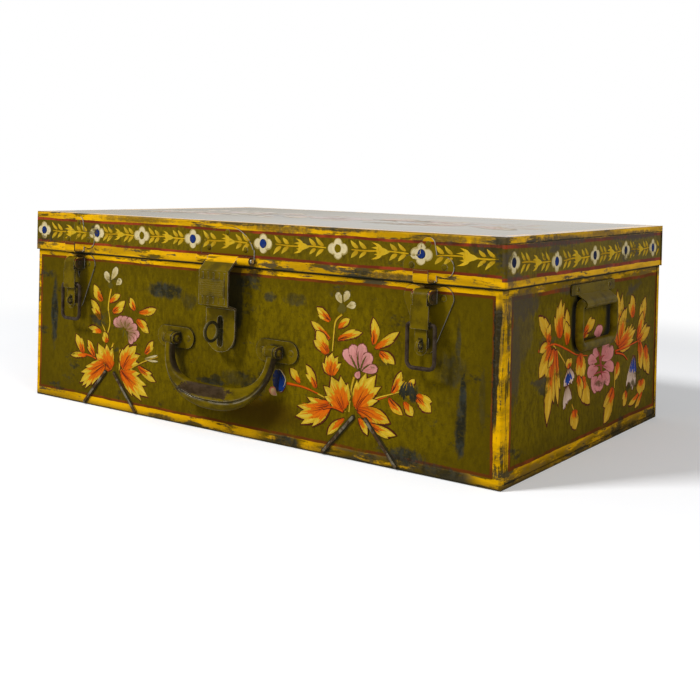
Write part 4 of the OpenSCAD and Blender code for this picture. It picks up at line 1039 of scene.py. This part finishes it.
def vine(art, start, foot, end, head):
    """Stem between two flowers with an arrow leaf and pairs of slanting leaflets."""
    gap, rise = end - start, head - foot

    def at(t, up=0.0):
        return (start + gap * t, foot + rise * t + up)

    steps = 12
    line = [at(0.17 + 0.68 * i / steps, 0.5 * math.sin(0.6 * i + start)) for i in range(steps + 1)]
    w = [0.75 * rng.uniform(0.7, 1.15) * (1.0 if 0 < i < steps else 0.5) for i in range(steps + 1)]
    art.strip(line, w, w, vary(LEAF_DEEP, 0.1), vary(LEAF, 0.1))
    size = min(gap / FLOWER_GAP, 1.05) * rng.uniform(0.92, 1.08)
    point = at(0.62, -0.3)
    for back, up, half, root in BARBS:
        tail = (point[0] - back * size * rng.uniform(0.9, 1.05), point[1] + up * size)
        dab(art, tail, (point[0] - root, point[1]), half * size, vary(LEAF, 0.1), vary(LEAF_PALE, 0.1),
            0.10 * math.copysign(1, up), lambda t: pointed(t, 0.62))
    dab(art, (point[0] - 13.0 * size, point[1] + 0.4), (point[0] + 1.0, point[1]), 3.3 * size, vary(LEAF, 0.1),
        vary(LEAF_PALE, 0.1), 0.0, lambda t: pointed(t, 0.38))
    for t, share in ((0.235, 1.0), (0.335, 0.9), (0.70, 0.9), (0.80, 1.0)):
        for up in (1, -1):
            k = rng.uniform(0.85, 1.1) * share
            root = at(t + 0.02, up * 1.7)
            top = at(t - 0.085 * FLOWER_GAP / gap * k, up * 8.9 * k)
            dab(art, root, top, rng.uniform(1.6, 2.1), vary(LEAF_DEEP, 0.15), vary(LEAF_PALE, 0.15), 0.08 * up,
                pointed)


def bell(art, centre):
    """Closed blue flower with a cream rim and a dusky cup below."""
    cu, cv = centre
    upright = math.pi / 2 + 0.12
    blob(art, (cu + 0.8, cv), 11.8, 8.0, vary(WINE), upright)
    blob(art, (cu + 0.5, cv + 0.3), 11.2, 7.4, vary(CREAM_DIM, 0.1), upright)
    blob(art, (cu - 0.5, cv + 0.1), 10.8, 7.4, vary(BLUE_DARK, 0.1), upright)
    dab(art, (cu + 2.6, cv - 10.2), (cu + 3.6, cv + 8.0), 2.3, BLUE_BRIGHT, vary(BLUE), -0.16, pointed)
    dab(art, (cu + 0.4, cv - 9.6), (cu + 1.4, cv + 5.0), 2.0, vary(BLUE_BRIGHT), vary(BLUE), -0.10, pointed)
    dab(art, (cu + 5.4, cv - 5.4), (cu + 4.2, cv + 9.0), 0.5, vary(CREAM), vary(CREAM), -0.22, pointed)
    dab(art, (cu - 2.2, cv - 14.4), (cu - 9.4, cv - 7.0), 4.4, vary(CREAM_DIM), vary(PINK_DEEP), 0.1)
    dab(art, (cu - 3.0, cv - 14.0), (cu - 8.4, cv - 8.0), 2.8, vary(PINK), vary(CREAM_DIM), 0.1)


# Leaf marks: width from which a leaf has two fingers, and the reach of its orange core
LEAF_MARKS = {"L": (9, 0.56), "M": (8, 0.66), "D": (0, 0.78)}
STEM_MARKS = {"S": (LEAF_PALE, LEAF_DEEP), "O": (ORANGE, ORANGE_DEEP)}
LINE_MARKS = {"G": BUD_GREEN, "R": PINK_DEEP}


def strew(art, marks, shift=(0.0, 0.0), flip=1, scale=1.0, root=PINK, warmth=1.0):
    """Lays out a bouquet from its marks: kind, u and v of each point, width; root tints the petals' feet."""
    for kind, *places, width in marks:
        width *= scale
        pts = [((u * flip) * scale + shift[0], v * scale + shift[1]) for u, v in zip(places[::2], places[1::2])]
        a, b = pts[0], pts[-1]
        if kind in STEM_MARKS:
            stem(art, pts, width, *STEM_MARKS[kind])
        elif kind in LEAF_MARKS:
            two_from, core = LEAF_MARKS[kind]
            leaf(art, a, b, width, "single" if width < two_from else "pair", core * warmth,
                 kind == "D" and warmth == 1.0)
        elif kind == "B":
            leaf(art, a, b, width, "five" if math.dist(a, b) < 2.0 * width else "saw", 0.66 * warmth)
        elif kind == "C":
            petal(art, a, b, width, CREAM, CREAM_DIM, 1 if width < 5 else 2, BUD_GREEN)
        elif kind == "P":
            petal(art, a, b, width, PINK_PALE, root, 3, PINK_SHADE)
        elif kind == "W":
            tuft(art, a, b, width, CHALK, CHALK_DIM, 8, WINE)
        elif kind == "V":
            tuft(art, a, b, width * 0.8, BLUE_BRIGHT, BLUE, 7)
        elif kind == "E":
            bell(art, a)
        elif kind == "K":
            tuft(art, a, b, width * 0.9, LEAF_DEEP, OLIVE, 5)
            tuft(art, b, a, width * 1.6, GRIME_AND_SHADE, SLATE, 9)
        else:
            dab(art, a, b, width / 2, vary(LINE_MARKS[kind]), None, 0.06, pointed, 0.2)


# Marks of the bouquets, in mm: S and O stems, L, M, D and B leaves, C and P petals, W, V and K tufts,
# E the blue bell, G and R thin lines
BOUQUET_LEFT = (
    ("S", -175, 132, -179, 112, -176, 94, -182, 77, 2.4), ("S", -190, 94, -183, 84, -179, 73, 1.8),
    ("O", -224, 56, -202, 54, -179, 45, 2.4), ("S", -102, 66, -123, 58, -143, 48, 1.6),
    ("S", -159, 67, -160, 44, 3.1), ("S", -170, 73, -176, 59, -177, 46, 2.3), ("L", -188, 118, -204, 134, 13),
    ("M", -177, 117, -160, 127, 7.4), ("L", -172, 107, -153, 119, 11.9), ("L", -191, 97, -208, 116, 11.4),
    ("M", -189, 83, -210, 85, 8), ("M", -137, 112, -146, 124, 9.6), ("L", -131, 110, -106, 116, 8.2),
    ("L", -135, 101, -116, 91, 11.8), ("L", -218, 56, -229, 77, 12.6), ("M", -200, 55, -212, 71, 10),
    ("L", -179, 73, -186, 83, 11), ("B", -172, 44, -193, 69, 28.2), ("B", -183, 48, -223, 23, 22),
    ("B", -158, 45, -115, 21, 25.8), ("B", -154, 46, -134, 74, 26.4), ("M", -121, 67, -108, 81, 9.5),
    ("M", -131, 52, -104, 40, 9.5), ("L", -213, 54, -238, 52, 6.4), ("C", -121, 61, -102, 61, 2.1),
    ("C", -121, 62, -103, 67, 2.1), ("C", -177, 138, -185, 150, 8), ("C", -175, 142, -166, 156, 8.1),
    ("C", -167, 137, -159, 143, 6.9), ("G", -175, 132, -176, 140, 7.7), ("P", -155, 92, -170, 97, 10.1),
    ("P", -155, 92, -163, 102, 11.2), ("P", -152, 91, -152, 104, 12.9), ("P", -151, 91, -142, 102, 10.8),
    ("P", -150, 89, -134, 95, 8.7), ("P", -147, 87, -130, 87, 8.3), ("P", -147, 85, -134, 81, 8.4),
    ("P", -147, 84, -140, 76, 8.6), ("G", -155, 91, -163, 89, 1.6), ("G", -154, 90, -156, 80, 2),
    ("G", -152, 89, -146, 78, 2.1),
)
BOUQUET_RIGHT = (
    ("S", 134, 133, 127, 126, 125, 112, 124, 98, 2.2), ("O", 71, 61, 91, 60, 109, 56, 2.6),
    ("S", 108, 56, 124, 51, 140, 44, 1.7), ("S", 149, 77, 146, 65, 144, 44, 2.5),
    ("S", 154, 47, 172, 60, 190, 67, 200, 71, 1.8), ("O", 156, 47, 167, 56, 185, 64, 1.5),
    ("L", 121, 126, 104, 136, 10.4), ("M", 130, 120, 143, 130, 7.1), ("M", 130, 109, 157, 120, 9.5),
    ("L", 121, 109, 99, 122, 9.5), ("L", 119, 95, 104, 114, 16.3), ("B", 124, 75, 124, 96, 18.3),
    ("L", 169, 109, 170, 132, 10.7), ("L", 171, 106, 196, 122, 9), ("L", 176, 103, 191, 93, 11.1),
    ("L", 87, 63, 75, 76, 8.2), ("L", 106, 61, 93, 80, 9.4), ("B", 138, 45, 123, 75, 28.8),
    ("B", 152, 48, 173, 82, 24.5), ("B", 123, 48, 82, 31, 23.1), ("M", 139, 37, 120, 19, 7.6),
    ("D", 154, 48, 188, 39, 16.8), ("L", 164, 37, 196, 29, 10.6), ("M", 155, 40, 166, 27, 8.1),
    ("M", 190, 68, 200, 87, 10), ("D", 187, 63, 201, 49, 9.5), ("L", 203, 62, 212, 51, 8.7),
    ("L", 215, 69, 232, 58, 14.2), ("O", 138, 44, 126, 46, 115, 43, 2.2), ("C", 134, 143, 128, 153, 6.7),
    ("C", 136, 145, 141, 155, 7.1), ("C", 139, 141, 149, 144, 6.7), ("G", 135, 134, 134, 144, 9.5),
    ("L", 205, 76, 213, 83, 5.3), ("K", 207, 63, 207, 81, 12.5), ("P", 153, 85, 137, 100, 10.8),
    ("P", 154, 86, 146, 106, 11.2), ("P", 155, 86, 158, 108, 11.1), ("P", 157, 85, 167, 100, 10.8),
    ("P", 157, 84, 174, 88, 8.3), ("P", 155, 83, 151, 77, 5.9), ("G", 154, 83, 145, 97, 1.7),
    ("G", 155, 83, 153, 101, 1.7), ("G", 156, 83, 162, 98, 1.5), ("G", 157, 83, 167, 91, 1.4),
    ("E", 61.4, 62, 0, 0, 1),
)
SPRAY = (
    ("O", -120, 109, -88, 112, -58, 104, -34, 96, -8, 92, 2.1), ("S", -88, 111, -73, 101, -57, 88, 1.8),
    ("L", -94, 112, -118, 108, 8.8), ("L", -95, 114, -118, 140, 16.2), ("L", -99, 116, -97, 132, 10.8),
    ("B", -74, 116, -73, 153, 23.2), ("M", -58, 111, -62, 142, 15.8), ("D", -58, 108, -60, 130, 16.7),
    ("L", -93, 109, -115, 83, 22.3), ("L", -86, 107, -96, 42, 22.8), ("M", -82, 106, -74, 55, 12.2),
    ("D", -88, 108, -98, 91, 9), ("D", -28, 96, -19, 70, 25.5), ("L", -19, 73, -2, 43, 22.3),
    ("L", -31, 75, -20, 52, 14.9), ("L", -51, 86, -53, 95, 14.9), ("W", -53, 85, -50, 68, 26.9),
    ("W", -56, 70, -53, 50, 20.8), ("V", -53, 82, -51, 71, 21.9), ("S", -43, 50, -35, 40, 2.2),
    ("L", -35, 44, -34, 24, 22), ("D", -19, 111, -5, 117, 10.7), ("L", -17, 115, 9, 127, 13.9),
    ("P", 19, 106, 17, 118, 21), ("P", 28, 88, 47, 99, 19.7), ("P", 20, 89, 6, 95, 10.8),
    ("P", 29, 83, 59, 90, 13.7), ("P", 16, 83, -6, 87, 10.1), ("P", 20, 76, -7, 75, 12.8),
    ("P", 33, 76, 61, 71, 11), ("P", 29, 70, 50, 58, 12.9), ("P", 17, 68, 5, 58, 19.2), ("P", 25, 69, 26, 54, 25.9),
    ("R", 22, 84, 37, 87, 2.2), ("R", 7, 79, 45, 73, 1.6), ("R", 8, 71, 43, 68, 1.7), ("R", 19, 94, 30, 63, 4),
    ("B", 79, 91, 67, 149, 38.6), ("D", 78, 89, 87, 131, 20.9), ("M", 114, 118, 105, 141, 19.6),
    ("L", 140, 105, 147, 137, 20.6), ("D", 126, 94, 144, 119, 20.1), ("B", 73, 91, 120, 104, 22.1),
    ("L", 126, 92, 166, 105, 16.5), ("O", 64, 88, 97, 89, 126, 91, 1.9), ("O", 64, 86, 85, 82, 98, 75, 1.9),
    ("D", 133, 90, 143, 60, 18.8), ("L", 152, 84, 162, 51, 21.3), ("D", 72, 76, 68, 58, 16.9),
    ("W", 119, 77, 110, 41, 28.9), ("V", 119, 75, 116, 58, 26.1), ("L", 100, 41, 89, 28, 15.6),
    ("L", 141, 48, 140, 32, 29.1), ("M", 135, 34, 106, 25, 8.4), ("M", 145, 34, 126, 19, 8.9),
    ("L", 62, 50, 37, 21, 24.4), ("S", 65, 72, 64, 50, 3.7),
)

for name, root in (("bouquet_left", PINK_ROOT), ("bouquet_right", PINK)):
    art = Ornament("ornament_" + name, "front")
    strew(art, BOUQUET_LEFT if name == "bouquet_left" else BOUQUET_RIGHT, root=root)
    art.make()
for side in ("right", "left"):
    art = Ornament("ornament_" + side, side)
    strew(art, SPRAY, warmth=0.86)
    art.make()

# Flowers of the lid's band: centre and the tone of the eye, none where it is worn away
LID_FLOWERS = ((-286, 191.5, BLUE), (-197, 192.0, BLUE), (-127, 193.0, None), (-53, 193.3, BLUE),
               (40, 193.5, BLUE), (129, 193.8, None), (219, 194.2, BLUE), (306, 194.0, None))
LID_SIDE_FLOWERS = ((-176, 191.0, BLUE_DARK), (-89, 187.6, BLUE), (0, 189.0, BLUE_DARK), (82, 190.2, BLUE_DARK),
                    (163, 189.8, BLUE), (240, 189.8, None))
for name, row in (("lid_front", LID_FLOWERS), ("lid_right", LID_SIDE_FLOWERS), ("lid_left", LID_SIDE_FLOWERS),
                  ("lid_back", LID_FLOWERS)):
    art = Ornament("ornament_" + name, name)
    for (u, v, eye_tone), (u_next, v_next, _) in zip(row, row[1:]):
        four_petal(art, (u, v), eye_tone)
        vine(art, u, v, u_next, v_next)
    art.make()

art = Ornament("ornament_top", "top", faint_paint)
strew(art, BOUQUET_LEFT, (8, -100), 1, 1.15)
strew(art, BOUQUET_LEFT, (-8, -100), -1, 1.15)
strew(art, SPRAY, (-26, -98), 1, 1.1)
art.make()


def into_scene(name, data):
    obj = bpy.data.objects.new(name, data)
    bpy.context.scene.collection.objects.link(obj)
    return obj


# Camera at the photograph's viewpoint
camera_data = bpy.data.cameras.new("camera")
camera_data.sensor_width = SENSOR
camera_data.lens = FOCAL_PX / FRAME_PX * SENSOR
camera_data.shift_x = (FRAME_PX / 2 - CENTRE_PX[0]) / FRAME_PX
camera_data.shift_y = (CENTRE_PX[1] - FRAME_PX / 2) / FRAME_PX
camera_data.clip_start, camera_data.clip_end = 0.01, 50.0
camera = into_scene("camera", camera_data)
forward = Vector((-math.sin(YAW) * math.cos(PITCH), math.cos(YAW) * math.cos(PITCH), -math.sin(PITCH)))
level = Vector((math.cos(YAW), math.sin(YAW), 0.0))
above = level.cross(forward)
right = level * math.cos(ROLL) + above * math.sin(ROLL)
up = above * math.cos(ROLL) - level * math.sin(ROLL)
camera.matrix_world = Matrix([[right[i], up[i], -forward[i], CAMERA_AT[i]] for i in range(3)] + [[0, 0, 0, 1]])
bpy.context.scene.camera = camera

# Lamps: place, aim, side of the square and watts
for name, at, aim, side, watts in (("key", (-1.20, -2.15, 2.38), (0, 0, 0.1), 0.7, 96),
                                   ("fill", (2.5, -0.9, 1.3), (0.1, 0, 0.1), 1.6, 27)):
    data = bpy.data.lights.new(name, "AREA")
    data.shape, data.size, data.size_y, data.energy = "RECTANGLE", side, side, watts
    lamp = into_scene(name, data)
    lamp.location = at
    lamp.rotation_euler = (Vector(aim) - Vector(at)).to_track_quat("-Z", "Y").to_euler()

# World: soft light on the trunk, white to the camera and in reflections
WORLD_LIGHT, WHITE = 0.27, (1, 1, 1)
world = bpy.data.worlds.new("studio")
bpy.context.scene.world = world
world.use_nodes = True
tree = world.node_tree
tree.nodes.clear()
path = add_node(tree, "ShaderNodeLightPath").outputs
seen = path["Is Camera Ray"]
for kind in ("Is Glossy Ray", "Is Transmission Ray"):
    seen = add_node(tree, "ShaderNodeMath", (seen, path[kind]), operation="MAXIMUM").outputs[0]
soft, white = (add_node(tree, "ShaderNodeBackground", (WHITE, k)).outputs[0] for k in (WORLD_LIGHT, 1.0))
pick = add_node(tree, "ShaderNodeMixShader", (seen, soft, white))
add_node(tree, "ShaderNodeOutputWorld", (pick.outputs[0],))

# Floor: white to the camera, grey only where the trunk shades it, and pure white from 1.1 m out
FLOOR_HALF, FLOOR_DOWN, FLOOR_TONE, FLOOR_GLOW, FADE_FROM, FADE_TO = 8, 0.0002, (0.85, 0.86, 0.88), 0.18, 0.7, 1.1
floor_mesh = bpy.data.meshes.new("floor")
floor_mesh.from_pydata([(x * FLOOR_HALF, y * FLOOR_HALF, 0) for x, y in ((-1, -1), (1, -1), (1, 1), (-1, 1))],
                       [], [(0, 1, 2, 3)])
floor = into_scene("floor", floor_mesh)
floor.location.z = -FLOOR_DOWN
floor_mat = bpy.data.materials.new("pale_floor")
floor_mat.use_nodes = True
tree = floor_mat.node_tree
tree.nodes.clear()
camera_ray = add_node(tree, "ShaderNodeLightPath").outputs["Is Camera Ray"]
matt = add_node(tree, "ShaderNodeBsdfDiffuse", (FLOOR_TONE,))
gain = add_node(tree, "ShaderNodeMath", (camera_ray, FLOOR_GLOW), operation="MULTIPLY")
glow = add_node(tree, "ShaderNodeEmission", (None, gain.outputs[0]))
both = add_node(tree, "ShaderNodeAddShader", (matt.outputs[0], glow.outputs[0]))
place = add_node(tree, "ShaderNodeTexCoord").outputs["Object"]
reach = add_node(tree, "ShaderNodeVectorMath", (place,), operation="LENGTH").outputs["Value"]
far = add_node(tree, "ShaderNodeMapRange", (reach, FADE_FROM, FADE_TO), interpolation_type="SMOOTHSTEP")
edge = add_node(tree, "ShaderNodeMath", (far.outputs[0], camera_ray), operation="MULTIPLY")
bright = add_node(tree, "ShaderNodeEmission")
fade_out = add_node(tree, "ShaderNodeMixShader", (edge.outputs[0], both.outputs[0], bright.outputs[0]))
add_node(tree, "ShaderNodeOutputMaterial", (fade_out.outputs[0],))
floor_mesh.materials.append(floor_mat)

bpy.context.scene.view_settings.view_transform = "Standard"
